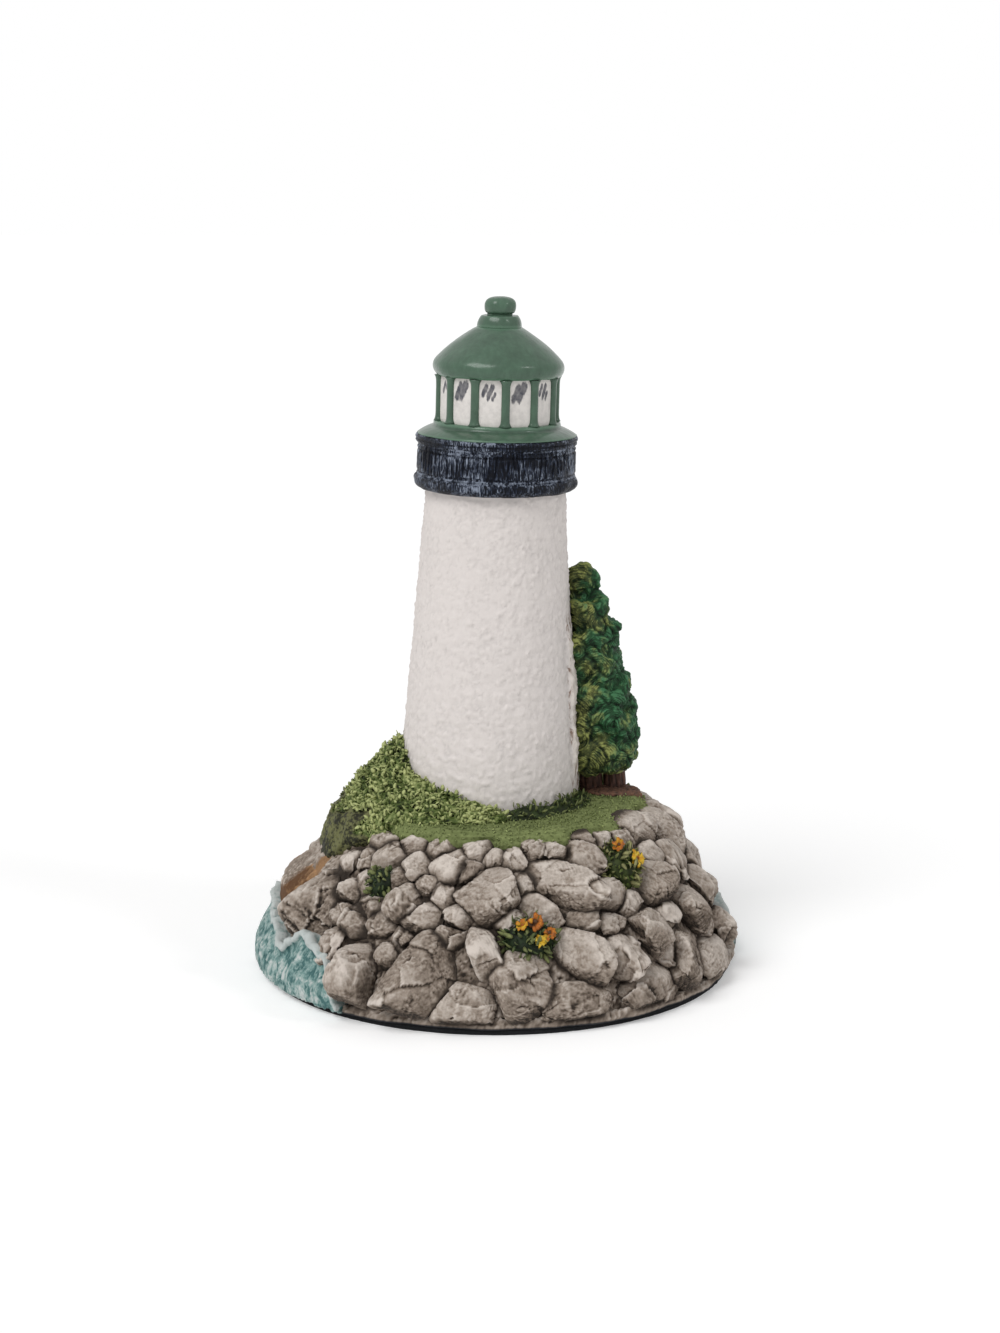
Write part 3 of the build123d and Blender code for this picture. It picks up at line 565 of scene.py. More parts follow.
def place_on_frame(piece, slot, *nodes, smooth=True):
    """Keeps the finished piece inside the solids' box and lets it stand for its CAD nodes."""
    points = np.clip(mesh_points(piece.data), cad_box[0], cad_box[1])
    piece.data.vertices.foreach_set("co", points.astype(np.float32).ravel())
    if smooth:
        piece.data.shade_smooth()
    piece.data.update()
    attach(piece, "root")
    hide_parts(*nodes)


def merged(*meshes):
    """Meshes opened as one shell, with corners that meet made one."""
    shell = bmesh.new()
    for mesh in meshes:
        shell.from_mesh(mesh)
    bmesh.ops.remove_doubles(shell, verts=shell.verts, dist=MERGE)
    return shell


def poured(shell, mesh):
    """The mesh with an opened shell written into it."""
    shell.to_mesh(mesh)
    shell.free()
    return mesh


def close_up(mesh):
    """Joins the edges of a mesh that meet, fills its open ends and turns its faces outwards."""
    shell = merged(mesh)
    bmesh.ops.holes_fill(shell, edges=shell.edges, sides=0)
    bmesh.ops.recalc_face_normals(shell, faces=shell.faces)
    poured(shell, mesh)


def cad_mesh(node):
    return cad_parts[node].data


def loose_parts(node):
    """Corner points of each separate lump of a CAD node, in millimetres."""
    lumps = merged(cad_mesh(node))
    lumps.verts.index_update()
    found, seen = [], set()
    for start in lumps.verts:
        if start.index in seen:
            continue
        seen.add(start.index)
        waiting, part = [start], []
        while waiting:
            corner = waiting.pop()
            part.append(corner.co / MM)
            for edge in corner.link_edges:
                other = edge.other_vert(corner)
                if other.index not in seen:
                    seen.add(other.index)
                    waiting.append(other)
        found.append(np.array(part))
    lumps.free()
    return found


def even_faces(piece, voxel):
    """Adds a modifier that divides the piece into small even faces."""
    step = piece.modifiers.new("even faces", "REMESH")
    step.mode, step.voxel_size = "VOXEL", voxel * MM


def round_off(piece, rounds):
    """Adds a modifier that rounds the edges of the piece."""
    step = piece.modifiers.new("rounding", "SMOOTH")
    step.factor, step.iterations = 0.5, rounds


def soft_copy(name, node, voxel, rounds):
    """A new piece with the form of a CAD node, in even small faces, its edges rounded off."""
    mesh = cad_mesh(node).copy()
    mesh.materials.clear()
    piece = new_object(name, poured(merged(mesh), mesh))
    even_faces(piece, voxel)
    round_off(piece, rounds)
    return bake_modifiers(piece)


def portion(value, run):
    """How much of a run a value has covered, from 0 to 1."""
    return np.clip(value / run, 0, 1)


def arc(start, middle, end, count):
    """Points of the round arc through three points of (radius, height)."""
    (ax, ay), (bx, by), (cx, cy) = start, middle, end
    turn = 2 * (ax * (by - cy) + bx * (cy - ay) + cx * (ay - by))
    a2, b2, c2 = ax * ax + ay * ay, bx * bx + by * by, cx * cx + cy * cy
    ox = (a2 * (by - cy) + b2 * (cy - ay) + c2 * (ay - by)) / turn
    oy = (a2 * (cx - bx) + b2 * (ax - cx) + c2 * (bx - ax)) / turn
    first, mid, last = (math.atan2(y - oy, x - ox) for x, y in (start, middle, end))
    mid = first + (mid - first + math.pi) % FULL_TURN - math.pi
    last = mid + (last - mid + math.pi) % FULL_TURN - math.pi
    radius = math.hypot(ax - ox, ay - oy)
    return [(ox + radius * math.cos(angle), oy + radius * math.sin(angle))
            for angle in np.linspace(first, last, count)]


def bezier(*corners, count):
    """Points of the curve that the corners steer."""
    points = [np.array(corner, float) for corner in corners]
    made = []
    for share in np.linspace(0, 1, count):
        row = points
        while len(row) > 1:
            row = [a + (b - a) * share for a, b in zip(row, row[1:])]
        made.append(tuple(row[0]))
    return made


def run_lengths(line):
    """How far along a line of points each of them lies."""
    return np.concatenate([[0], np.cumsum(np.linalg.norm(np.diff(line, axis=0), axis=1))])


def at_marks(line, lengths, marks):
    """The points of a line of (radius, height) points at marked lengths."""
    return np.column_stack([np.interp(marks, lengths, line[:, axis]) for axis in (0, 1)])


def even_steps(outline, step):
    """The outline of (radius, height) points with a point every so many millimetres.
    Its first and last legs are flat ends that lie hidden, so they get few points."""
    outline = np.array(outline, float)
    lengths = run_lengths(outline)
    marks = [0.0]
    for leg, (start, end) in enumerate(zip(lengths, lengths[1:])):
        hidden = leg in (0, len(lengths) - 2)
        count = max(1, round((end - start) / (step * 12 if hidden else step)))
        marks += [start + (end - start) * number / count for number in range(1, count + 1)]
    return at_marks(outline, lengths, marks)


def even_loop(loop, count):
    """A closed loop of (radius, height) points, spaced evenly."""
    loop = np.vstack([loop, loop[:1]])
    lengths = run_lengths(loop)
    return at_marks(loop, lengths, np.linspace(0, lengths[-1], count, endpoint=False))


def ring_faces(rings, around):
    """Faces between rings of points, one above the other."""
    return [(low + n, low + (n + 1) % around, low + around + (n + 1) % around, low + around + n)
            for low in range(0, (rings - 1) * around, around) for n in range(around)]


def turned(outline, step, around, change):
    """Points, faces, azimuths and heights of a piece turned about the upright axis.
    The outline starts and ends on the axis, and gets a point every so many millimetres.
    The change gives extra radius for each azimuth and height."""
    outline = even_steps(outline, step)
    azimuth = np.linspace(0, FULL_TURN, around, endpoint=False)
    angle, radius = np.meshgrid(azimuth, outline[1:-1, 0])
    height = np.repeat(outline[1:-1, 1:2], around, axis=1)
    radius = radius + change(angle, height)
    rings = np.stack([radius * np.cos(angle), radius * np.sin(angle), height], axis=-1).reshape(-1, 3)
    ends = outline[[0, -1], 1]
    points = np.vstack([rings, [(0, 0, end) for end in ends]])
    foot, top, last = len(rings), len(rings) + 1, len(rings) - around
    faces = ring_faces(len(outline) - 2, around)
    faces += [(foot, (n + 1) % around, n) for n in range(around)]
    faces += [(top, last + n, last + (n + 1) % around) for n in range(around)]
    return points, faces, np.append(angle, [0, 0]), np.append(height, ends)


def on_tower(points):
    """Points drawn about the tower's upright axis, moved to the leaning tower."""
    return points @ TOWER_TURN.T + np.array(TOWER_FOOT)


def tower_piece(name, outline, step, around, change, **fields):
    """A turned piece that stands on the leaning tower's axis."""
    points, faces, _, _ = turned(outline, step, around, change)
    return modelled(name, on_tower(points), faces, **fields)


def hand_turned(angle, height):
    """Slight unevenness of a piece that was shaped by hand."""
    return 0.05 * np.sin(3 * angle + 0.5 * height) + 0.04 * np.sin(7 * angle - 0.8 * height) - 0.06


def eased(rows, azimuth):
    """Values of rows of (azimuth, value) at each azimuth, eased from row to row."""
    rows = np.array(rows, float)
    index = np.clip(np.searchsorted(rows[:, 0], azimuth) - 1, 0, len(rows) - 2)
    low, high = rows[index], rows[index + 1]
    share = np.clip((azimuth - low[:, 0]) / (high[:, 0] - low[:, 0]), 0, 1)
    return low[:, 1] + (high[:, 1] - low[:, 1]) * (1 - np.cos(np.pi * share)) / 2


@functools.cache
def slope_line(count=40):
    """Points of (radius, height) up the slope of the mound."""
    foot, brow = np.array(SLOPE_FOOT), np.array(SLOPE_BROW)
    run = brow - foot
    outward = np.array([run[1], -run[0]]) / np.linalg.norm(run)
    return np.array(bezier(foot, (foot + brow) / 2 + 2 * SLOPE_BULGE * outward, brow, count=count))


def above_slope(points):
    """How far each point stands out of the mound's slope, in millimetres."""
    line = slope_line(80)
    radius = np.interp(points[:, 2], line[:, 1], line[:, 0])
    return SLOPE_OUT * (np.hypot(points[:, 0], points[:, 1]) - radius)


def sphere(level):
    """Directions and faces of an even ball."""
    ball = bmesh.new()
    bmesh.ops.create_icosphere(ball, subdivisions=level, radius=1.0)
    ball.verts.index_update()
    points = np.array([corner.co for corner in ball.verts])
    faces = np.array([[corner.index for corner in face.verts] for face in ball.faces])
    ball.free()
    return points, faces


BALLS = {level: sphere(level) for level in (4, 5, 6)}


def hull_planes(points):
    """Facings and distances, from the middle, of the flat faces round a lump."""
    middle = points.mean(axis=0)
    hull = bmesh.new()
    for point in points:
        hull.verts.new(point - middle)
    bmesh.ops.convex_hull(hull, input=hull.verts)
    rows = []
    for face in hull.faces:
        face.normal_update()
        distance = face.normal.dot(face.verts[0].co)
        if face.calc_area() > 0.01 and abs(distance) > 0.05:
            side = 1 if distance > 0 else -1
            rows.append((*(side * face.normal), side * distance))
    hull.free()
    rows = np.array(rows)
    kept = np.unique((rows / (0.05, 0.05, 0.05, 0.2)).round(), axis=0, return_index=True)[1]
    return middle, rows[kept, :3], rows[kept, 3]


class Lump:
    """A lump whose flat faces are eased into each other; the edge sets how sharp its corners stay."""

    def __init__(self, points, edge):
        self.middle, self.facings, self.distances = hull_planes(points)
        self.edge = edge
        self.spread, self.axes = np.linalg.eigh(np.cov((points - self.middle).T))
        self.size = np.ptp(points, axis=0).max()

    def widen(self, facing, share):
        """Pushes the sides out, but not the faces that look along the facing or against it."""
        self.distances = self.distances * (1 + share * (1 - (self.facings @ facing) ** 2))

    def fill(self, share):
        """Grows the lump to a share of its flat-faced hull, as easing the edges takes from its size."""
        ball = BALLS[4][0]
        flat = 1 / np.maximum(ball @ self.facings.T / self.distances, 0).max(axis=1)
        self.distances = self.distances * share * flat.mean() / (1 / self.press(ball)).mean()

    def stretch(self, way, share):
        """Lengthens the lump one way, or shortens it where the share is below 1."""
        way = way / np.linalg.norm(way)
        facings = self.facings + (1 / share - 1) * (self.facings @ way)[:, None] * way
        lengths = np.linalg.norm(facings, axis=1)
        self.facings = facings / lengths[:, None]
        self.distances = self.distances / lengths

    def cut_back(self, facing, distance):
        """Cuts off what stands beyond a plane, given by its facing and distance from the origin."""
        reach = distance - self.middle @ facing
        if reach > 0:
            self.facings = np.vstack([self.facings, facing])
            self.distances = np.append(self.distances, reach)

    def chip(self, facing, share):
        """Knocks a corner off, down to a share of how far the lump reaches that way."""
        ball = BALLS[4][0]
        reach = (ball @ facing / self.press(ball)).max()
        self.facings = np.vstack([self.facings, facing])
        self.distances = np.append(self.distances, share * reach)

    def press(self, directions):
        """How often the way out from the middle goes into each direction's length."""
        shares = np.maximum(directions @ self.facings.T / self.distances, 0)
        return (shares ** self.edge).sum(axis=1) ** (1 / self.edge)

    def skin(self, ball):
        """Points on the lump, one for each of a ball's."""
        directions = (ball * np.sqrt(self.spread / self.spread.max())) @ self.axes.T
        directions /= np.linalg.norm(directions, axis=1)[:, None]
        return self.middle + directions / self.press(directions)[:, None]

    def clearance(self, points):
        """About how far points lie outside the lump, in millimetres; less than 0 inside."""
        away = points - self.middle
        return np.linalg.norm(away, axis=1) * (1 - 1 / np.maximum(self.press(away), 0.2))


def any_direction(dice):
    direction = np.array([dice.gauss(0, 1) for _ in range(3)])
    return direction / np.linalg.norm(direction)


def slope_facing(place):
    """The way that the mound's slope faces at a place."""
    out = np.array([place[0], place[1], 0.0])
    return SLOPE_OUT * out / np.linalg.norm(out) + np.array([0, 0, SLOPE_UP])


@functools.cache
def boulder_lumps(seed):
    """Every boulder, by node: spread until it meets its neighbours, with its corners chipped."""
    dice = random.Random(seed)
    boulders = {}
    for node in BOULDER_NODES:
        boulders[node] = []
        for part in loose_parts(node):
            lump = Lump(part, BOULDER_EDGE)
            facing = slope_facing(lump.middle)
            lump.widen(facing, BOULDER_SPREAD)
            lump.fill(1.10)
            shapes = [shape for shape in BOULDER_SHAPES if np.linalg.norm(lump.middle - shape[0]) < 1.5]
            for _, stretches, cuts in shapes:
                for *way, share in stretches:
                    lump.stretch(np.array(way), share)
                for *side, share in cuts:
                    lump.chip(np.array(side) / np.linalg.norm(side), share)
            front, round_it = (0, 3) if shapes else (4, 6)
            for slant, low, high in ((0.6, 0.88, 0.97),) * front + ((1.8, 0.76, 0.92),) * round_it:
                side = facing + slant * any_direction(dice)
                lump.chip(side / np.linalg.norm(side), dice.uniform(low, high))
            if node == "left_boulders":
                lump.cut_back(*BEACH_SIDE)
            if node == "shore_boulders":
                out = np.array([lump.middle[0], lump.middle[1], 0]) / np.hypot(*lump.middle[:2])
                lump.cut_back(0.6 * out - np.array([0, 0, 0.8]), 0.6 * FOOT_RADIUS - 0.8 * SLOPE_FOOT[1])
            boulders[node].append(lump)
    return boulders


def every_boulder(seed):
    return [lump for lumps in boulder_lumps(seed).values() for lump in lumps]


def nearest_boulder(points, boulders, leave_out=None):
    """Distance from each point to the nearest of the boulders, in millimetres."""
    nearest = np.full(len(points), 3.0)
    low, high = points.min(axis=0), points.max(axis=0)
    for lump in boulders:
        apart = (lump.middle < low - lump.size).any() or (lump.middle > high + lump.size).any()
        if lump is not leave_out and not apart:
            nearest = np.minimum(nearest, lump.clearance(points))
    return nearest


def boulder_piece(name, lumps, all_lumps, dice, finest, shade):
    """A piece of several boulders, each with its own tone and grain, and how near its neighbours are."""
    points, faces, tones, shifts, crevices, count = [], [], [], [], [], 0
    for lump in lumps:
        ball, ball_faces = BALLS[finest if lump.size > 9.0 else 5]
        skin = lump.skin(ball)
        if np.linalg.det(np.array([skin[i] - lump.middle for i in ball_faces[0]])) < 0:
            ball_faces = ball_faces[:, ::-1]
        near = np.minimum(nearest_boulder(skin, all_lumps, lump), above_slope(skin) - 0.6)
        points.append(skin)
        faces.append(ball_faces + count)
        tones.append(np.full(len(skin), shade * dice.random()))
        shifts.append(np.tile([dice.uniform(-200, 200) for _ in range(3)], (len(skin), 1)))
        crevices.append(near)
        count += len(skin)
    return modelled(name, np.vstack(points), np.vstack(faces).tolist(), tone=np.concatenate(tones),
                    shift=np.vstack(shifts), near=np.concatenate(crevices))


# Geometry Nodes trees for relief, leaves and posts

def stone_relief():
    """Broad hollows, cracks, tooled scratches and roughness of stone."""
    recipe = Recipe("stone relief", Lump=0.0004, Crack=0.0003, Hatch=0.0001, Rough=0.0002)
    shift = recipe.field("shift", "FLOAT_VECTOR")
    place = recipe.vector("ADD", recipe.place(), shift)
    chunk = recipe.cells(recipe.stirred(place, 0.3, 1.6), 0.17, out="Position")
    tint = chunk.beside("Color")
    tilt = recipe.vector("SUBTRACT", tint, (0.5, 0.5, 0.5))
    planes = recipe.vector("DOT_PRODUCT", recipe.vector("SUBTRACT", place, chunk), tilt, 1)
    rough = recipe.noise(place, 0.55, 4.0, 0.66, 0.5) - 0.5 \
        + 0.5 * (recipe.noise(place, 1.6, 4.0, 0.7) - 0.5)
    edges = recipe.cells(recipe.stirred(place, 0.5, 2.4), 0.16, "DISTANCE_TO_EDGE")
    patch = recipe.noise(place, 0.3, 1.0)
    crack = (1.0 - edges.between(0.0, 0.05)) * patch.between(0.54, 0.68)
    tool = recipe.node("ShaderNodeVectorRotate", {"rotation_type": "EULER_XYZ"},
                       {"Vector": place, "Rotation": recipe.vector("SCALE", shift, 0.37)})
    hatch = recipe.drawn(tool, (0.30, 1.8, 1.8), 0.9, 2.0, 0.5, 0.8).between(0.35, 0.65)
    scratch = (1.0 - hatch) * patch.between(0.40, 0.55)
    height = recipe["Lump"] * 0.16 * planes + recipe["Rough"] * 2.0 * rough \
        - recipe["Crack"] * crack - recipe["Hatch"] * scratch
    stone = recipe.marked(recipe.raised(height), "facet", recipe.axis(tint, "X"))
    stone = recipe.marked(stone, "cut", scratch * 0.6 + crack)
    return recipe.deliver(recipe.worn(stone, worn=5, proud=26))


def rubble_relief():
    """Small stones and grit packed between the boulders."""
    recipe = Recipe("rubble relief", Stones=0.0012, Grit=0.0005, Sink=0.0005)
    place = recipe.place()
    stones = 0.75 - recipe.cells(recipe.stirred(place, 0.45, 1.6), 0.30, "SMOOTH_F1")
    grit = 0.5 - abs(recipe.noise(place, 0.6, 4.0, 0.62) - 0.5) * 3.0
    height = recipe["Stones"] * stones * 1.7 + recipe["Grit"] * grit - recipe["Sink"]
    return recipe.deliver(recipe.worn(recipe.raised(recipe.field("slope") * height), worn=2, proud=9))


def comb_relief():
    """Combed strokes that swirl round the whorl of each clump of leaves."""
    recipe = Recipe("comb relief", Depth=0.0003, Pitch=0.7, Dome=0.0004, Rough=0.0003)
    place = recipe.place()
    bend = recipe.noise(place, 0.40, 2.0) - 0.5
    swirl = (recipe.field("reach") + 2.0 * bend) * FULL_TURN / recipe["Pitch"]
    broken = recipe.noise(place, 0.55, 3.0).between(0.38, 0.6)
    comb = 0.5 + swirl.wave() * 0.5 * (0.1 + 0.9 * broken)
    rough = recipe.noise(place, 0.34, 4.0, 0.62) - 0.5
    dome = recipe.field("seam").between(0.0, 1.0)
    height = recipe["Depth"] * (comb - 0.6) + recipe["Dome"] * (dome - 0.6) \
        + recipe["Rough"] * 2.5 * rough
    clump = recipe.marked(recipe.raised(height), "tip", comb)
    return recipe.deliver(recipe.worn(clump, worn=3, proud=10))


def wall_relief():
    """Soft, uneven stucco."""
    recipe = Recipe("stucco relief", Depth=0.0002)
    place = recipe.place()
    trowel = recipe.noise(place, 0.55, 3.0, 0.55) - 0.5
    blobs = recipe.noise(place, 1.2, 1.0).between(0.52, 0.72)
    broad = recipe.noise(place, 0.12, 1.0) - 0.5
    web = recipe.field("web") * (recipe.noise(place, 0.7, 3.0, 0.6) - 0.5)
    height = recipe["Depth"] * (1.3 * trowel + 0.45 * blobs + 0.9 * broad + 2.4 * web)
    return recipe.deliver(recipe.worn(recipe.raised(height), worn=6))


def grain_height(recipe, place):
    """Fine grain over gentle swells."""
    grain = recipe.noise(place, 1.3, 3.0, 0.65) - 0.5
    swell = recipe.noise(place, 0.16, 1.0) - 0.5
    return recipe["Grain"] * 2.0 * grain + recipe["Swell"] * swell


def grain_relief():
    """Grain and swells, as on sand, bark and thick paint."""
    recipe = Recipe("grain relief", Grain=0.0002, Swell=0.0004)
    return recipe.deliver(recipe.worn(recipe.raised(grain_height(recipe, recipe.place())), worn=4))


def turf_scatter():
    """Grain and swells of the lawn, with short blades wherever it is seen."""
    recipe = Recipe("turf scatter", Grain=0.0002, Swell=0.0004, Length=0.0006, Width=0.0004, Spacing=0.0005)
    place = recipe.place()
    lawn = recipe.marked(recipe.raised(grain_height(recipe, place)), "tone", recipe.noise(place, 0.3, 2.0))
    lawn = recipe.worn(lawn, worn=4)
    blades = scattered_leaves(recipe, lawn, recipe.field("grown"), 0.8)
    return recipe.deliver(recipe.joined(blades, lawn))


def wave_relief():
    """Chop on the sea and lumps in its foam."""
    recipe = Recipe("wave relief", Chop=0.0004)
    place = recipe.place()
    foam = recipe.field("foam")
    chop = 1.0 - abs(recipe.drawn(place, (0.24, 0.24, 0.16), 1.2, 3.0, 0.6, 1.6) - 0.5) * 4.0
    froth = 0.55 - recipe.cells(place, 0.62, "SMOOTH_F1")
    height = recipe["Chop"] * ((1.0 - foam) * (chop - 0.9) + foam * froth * 1.8)
    return recipe.deliver(recipe.worn(recipe.marked(recipe.raised(height), "chop", chop), worn=4))


def ivy_scatter():
    """Small curled leaves on the crinkled skin of the ivy bank, except on its bare patch."""
    recipe = Recipe("ivy scatter", Depth=0.0006, Length=0.0012, Width=0.0009, Spacing=0.0006)
    place = recipe.place()
    warp = recipe.vector("SUBTRACT", recipe.noise(place, 0.55, 1.0, out=1), (0.5, 0.5, 0.5))
    bent = recipe.vector("ADD", place, recipe.vector("SCALE", warp, 3.2))
    curl = 1.0 - (abs(recipe.noise(bent, 0.5, 1.5) - 0.5) * 6.0).least(1.0)
    leafy = 1.0 - recipe.field("bare")
    lumps = recipe.noise(place, 0.22, 1.0) - 0.5
    grain = recipe.noise(place, 0.9, 3.0, 0.7) - 0.5
    height = leafy * (1.2 * curl - 0.9) + 2.6 * lumps + (1.0 - leafy) * 1.6 * grain
    bank = recipe.marked(recipe.raised(recipe["Depth"] * height), "tip", curl * 0.35 * leafy)
    bank = recipe.worn(recipe.marked(bank, "tone", recipe.noise(place, 0.3, 2.0)), worn=4)
    leaves = scattered_leaves(recipe, bank, leafy, 0.85)
    return recipe.deliver(recipe.joined(leaves, bank))


def leaf_scatter():
    """Small pointed leaves that stand out all over a clump."""
    recipe = Recipe("leaf scatter", Length=0.002, Width=0.0008, Spacing=0.0007, Seed=3)
    clump = recipe["Geometry"]
    leaves = scattered_leaves(recipe, clump, 1.0, 0.5, recipe["Seed"])
    return recipe.deliver(recipe.joined(leaves, clump))


def scattered_leaves(recipe, ground, density, tilt, seed=5):
    """Leaves on the ground of a recipe, tilted at most so far from upright, each with its own tone."""
    spots = recipe.node("GeometryNodeDistributePointsOnFaces", {"distribute_method": "POISSON"}, {
        "Mesh": ground, "Distance Min": recipe["Spacing"], "Density Max": 4e6,
        "Density Factor": density, "Seed": seed,
    })
    turn = recipe.any_value((-tilt, -tilt, -math.pi), (tilt, tilt, math.pi), seed)
    lean = recipe.node("FunctionNodeRotateRotation", {"rotation_space": "LOCAL"},
                       {"Rotation": spots.beside("Rotation"), "Rotate By": turn})
    leaves = recipe.instances(spots, leaf_blade(recipe), Rotation=lean, Scale=recipe.any_value(0.55, 1.2))
    return recipe.marked(leaves, "tone", recipe.any_value(0.0, 1.0), "INSTANCE")


def bud(recipe, segments, rings):
    """A round bud to shape a leaf or petal from, its x and y, and t, from 0 at the root to 1 at the tip."""
    ball = recipe.node("GeometryNodeMeshUVSphere", None,
                       {"Segments": segments, "Rings": rings, "Radius": 1.0})
    place = recipe.node("GeometryNodeInputPosition")
    x, y, z = (recipe.axis(place, label) for label in "XYZ")
    return ball, x, y, z * 0.5 + 0.5


def leaf_blade(recipe):
    """One arched, pointed leaf that grows along z from its root: a closed shape of sixteen faces."""
    ball, x, y, t = bud(recipe, 4, 4)
    half, length = recipe["Width"] * 0.5, recipe["Length"]
    shape = recipe.point(X=x * half * (1.25 - 0.5 * t), Y=y * half * 0.35 + length * 0.45 * t * t,
                         Z=length * t * (1.0 - 0.25 * t))
    return recipe.marked(recipe.moved(ball, Position=shape), "tip", t)


def blossom_wheel():
    """Blossoms of curved petals round a raised heart, one on each point of the piece."""
    recipe = Recipe("blossoms", Radius=0.0016, Petals=6)
    ball, x, y, t = bud(recipe, 6, 5)
    radius, count = recipe["Radius"], recipe["Petals"]
    cup = radius * (0.45 * (t * math.pi * 0.8).wave() + 0.2 * abs(x) * t)
    shape = recipe.point(X=x * radius * 0.33 * (0.6 + 0.7 * t), Y=radius * t, Z=cup - y * radius * 0.07)
    petal = recipe.marked(recipe.moved(ball, Position=shape), "tip", t)
    wheel = recipe.node("GeometryNodeMeshCircle", None, {"Vertices": count, "Radius": 0.1 * MM})
    turn = recipe.point(Z=recipe.node("GeometryNodeInputIndex") * FULL_TURN / count)
    petals = recipe.instances(wheel, petal, Rotation=turn,
                              Scale=recipe.any_value((0.7, 0.6, 0.3), (1.2, 1.15, 1.6), 4))
    heart = recipe.node("GeometryNodeMeshIcoSphere", None, {"Radius": radius * 0.34, "Subdivisions": 2})
    heart = recipe.placed(heart, recipe.point(Z=radius * 0.25), (0, 0, 0))
    flower = recipe.joined(petals, recipe.marked(heart, "tip", 0.0))
    blossoms = recipe.instances(recipe["Geometry"], flower, Scale=recipe.field("size"),
                                Rotation=recipe.field("turn", "FLOAT_VECTOR"))
    blossoms = recipe.marked(blossoms, "tone", recipe.field("hue"), "INSTANCE")
    plain = recipe.node("GeometryNodeRealizeInstances", None, {"Geometry": blossoms})
    stir = recipe.vector("SUBTRACT", recipe.noise(recipe.place(), 0.9, 2.0, out=1), (0.5, 0.5, 0.5))
    return recipe.deliver(recipe.moved(plain, Offset=recipe.vector("SCALE", stir, 1.1 * MM)))


def mullion_ring():
    """Posts that flare into the sill and the eave, one on each corner of the lantern."""
    recipe = Recipe("mullions", Width=0.0017, Depth=0.0011, Height=0.008, Radius=0.0104)
    post = recipe.node("GeometryNodeMeshCylinder", {"fill_type": "NGON"}, {
        "Vertices": 20, "Side Segments": 20, "Radius": 0.5, "Depth": 1.0,
    })
    place = recipe.node("GeometryNodeInputPosition")
    x, y, z = (recipe.axis(place, label) for label in "XYZ")
    ends = abs(z * 2.0) ** 9.0
    width = recipe["Width"] * (1.0 + 0.55 * ends)
    deep = recipe["Depth"] * (1.0 + 0.5 * ends)
    shape = recipe.point(X=x * deep, Y=y * width, Z=(z + 0.5) * recipe["Height"])
    ring = recipe.node("GeometryNodeMeshCircle", None,
                       {"Vertices": PANES, "Radius": recipe["Radius"]})
    turn = recipe.point(Z=recipe.node("GeometryNodeInputIndex") * (FULL_TURN / PANES))
    posts = recipe.instances(ring, recipe.moved(post, Position=shape), Rotation=turn)
    posts = recipe.placed(posts, (0, 0, PANE_FOOT * MM), (0, 0, FIRST_CORNER))
    return recipe.deliver(recipe.placed(posts, TOWER_FOOT * MM, (0, TOWER_LEAN, 0)))


# Paints

def shaded(colour, share):
    """A colour made darker or lighter."""
    return tuple(min(share * value, 1.0) for value in colour)


def rock_paint(look, sand, name, low):
    """Stone with a dark wash in its crevices and pale dry brushing on its edges, with painted light from
    above:
    its tops lighter and its undersides darker, and painted shade beside neighbouring boulders.
    Below the low height, in millimetres, it is darker still. Sand covers what the mesh marks as sandy,
    and dusts the thickest brushing elsewhere."""
    paint = Paint(name)
    place = paint.place()
    cloud = paint.noise(place, 0.15, 4.0, 0.65) - 0.5
    grit = paint.noise(place, 2.4, 4.0, 0.8) - 0.5
    brush = paint.drawn(place, (1.0, 1.0, 0.45), 1.5, 4.0, 0.75, 1.0) - 0.5
    near = paint.field("near") + 0.7 * (paint.noise(place, 0.9, 3.0) - 0.5) \
        + 1.6 * (paint.noise(place, 0.18, 1.0) - 0.5)
    height = paint.axis(place, "Z")
    # Painted light from above: faces that look up are painted lighter and those that look down darker; the
    # proud term also paints raised parts lighter, beside the dry brushing of the worn term.
    share = 0.51 + 0.46 * paint.facing_up() + 1.25 * cloud + 0.40 * grit + 0.44 * brush \
        + 2.2 * paint.field("worn") + 0.30 * paint.field("proud") - 0.12 * paint.field("cut") \
        + 0.34 * (paint.field("tone") - 0.5) + 0.20 * (paint.field("facet") - 0.5)
    # Painted shade close to the neighbouring boulders, where the crevices between them fall into shade; the
    # stone is also darker towards the foot.
    share = share * (0.42 + 0.58 * near.between(-0.2, 1.4)) \
        * (0.45 + 0.55 * height.between(low - 0.8, low + 2.6))
    colour = paint.ramp(0.8 * share, (0.02, look.wash_and_shade), (0.26, look.stone), (0.51, look.worn),
                        (1.0, look.dust_and_highlight))
    # The dark wash in the crevices, which also paints the shade that falls there.
    colour = paint.blend((1.0 - near.between(-0.25, 0.75)) * 0.92, colour, look.wash_and_shade)
    covered = (paint.field("sandy") + 1.2 * brush).between(0.3, 0.6)
    cover = paint.ramp(0.5 + brush + cloud, (0.3, shaded(sand, 0.4)), (0.6, sand))
    colour = paint.blend(covered, colour, cover)
    colour = paint.blend(1.0 - height.between(1.25, 1.6), colour, FOOT_LINE)
    return paint.finish(colour, 0.82 + 0.12 * grit,
                        Normal=paint.bump(grit + 0.8 * brush, 0.25, 0.9), Specular_IOR_Level=0.25)


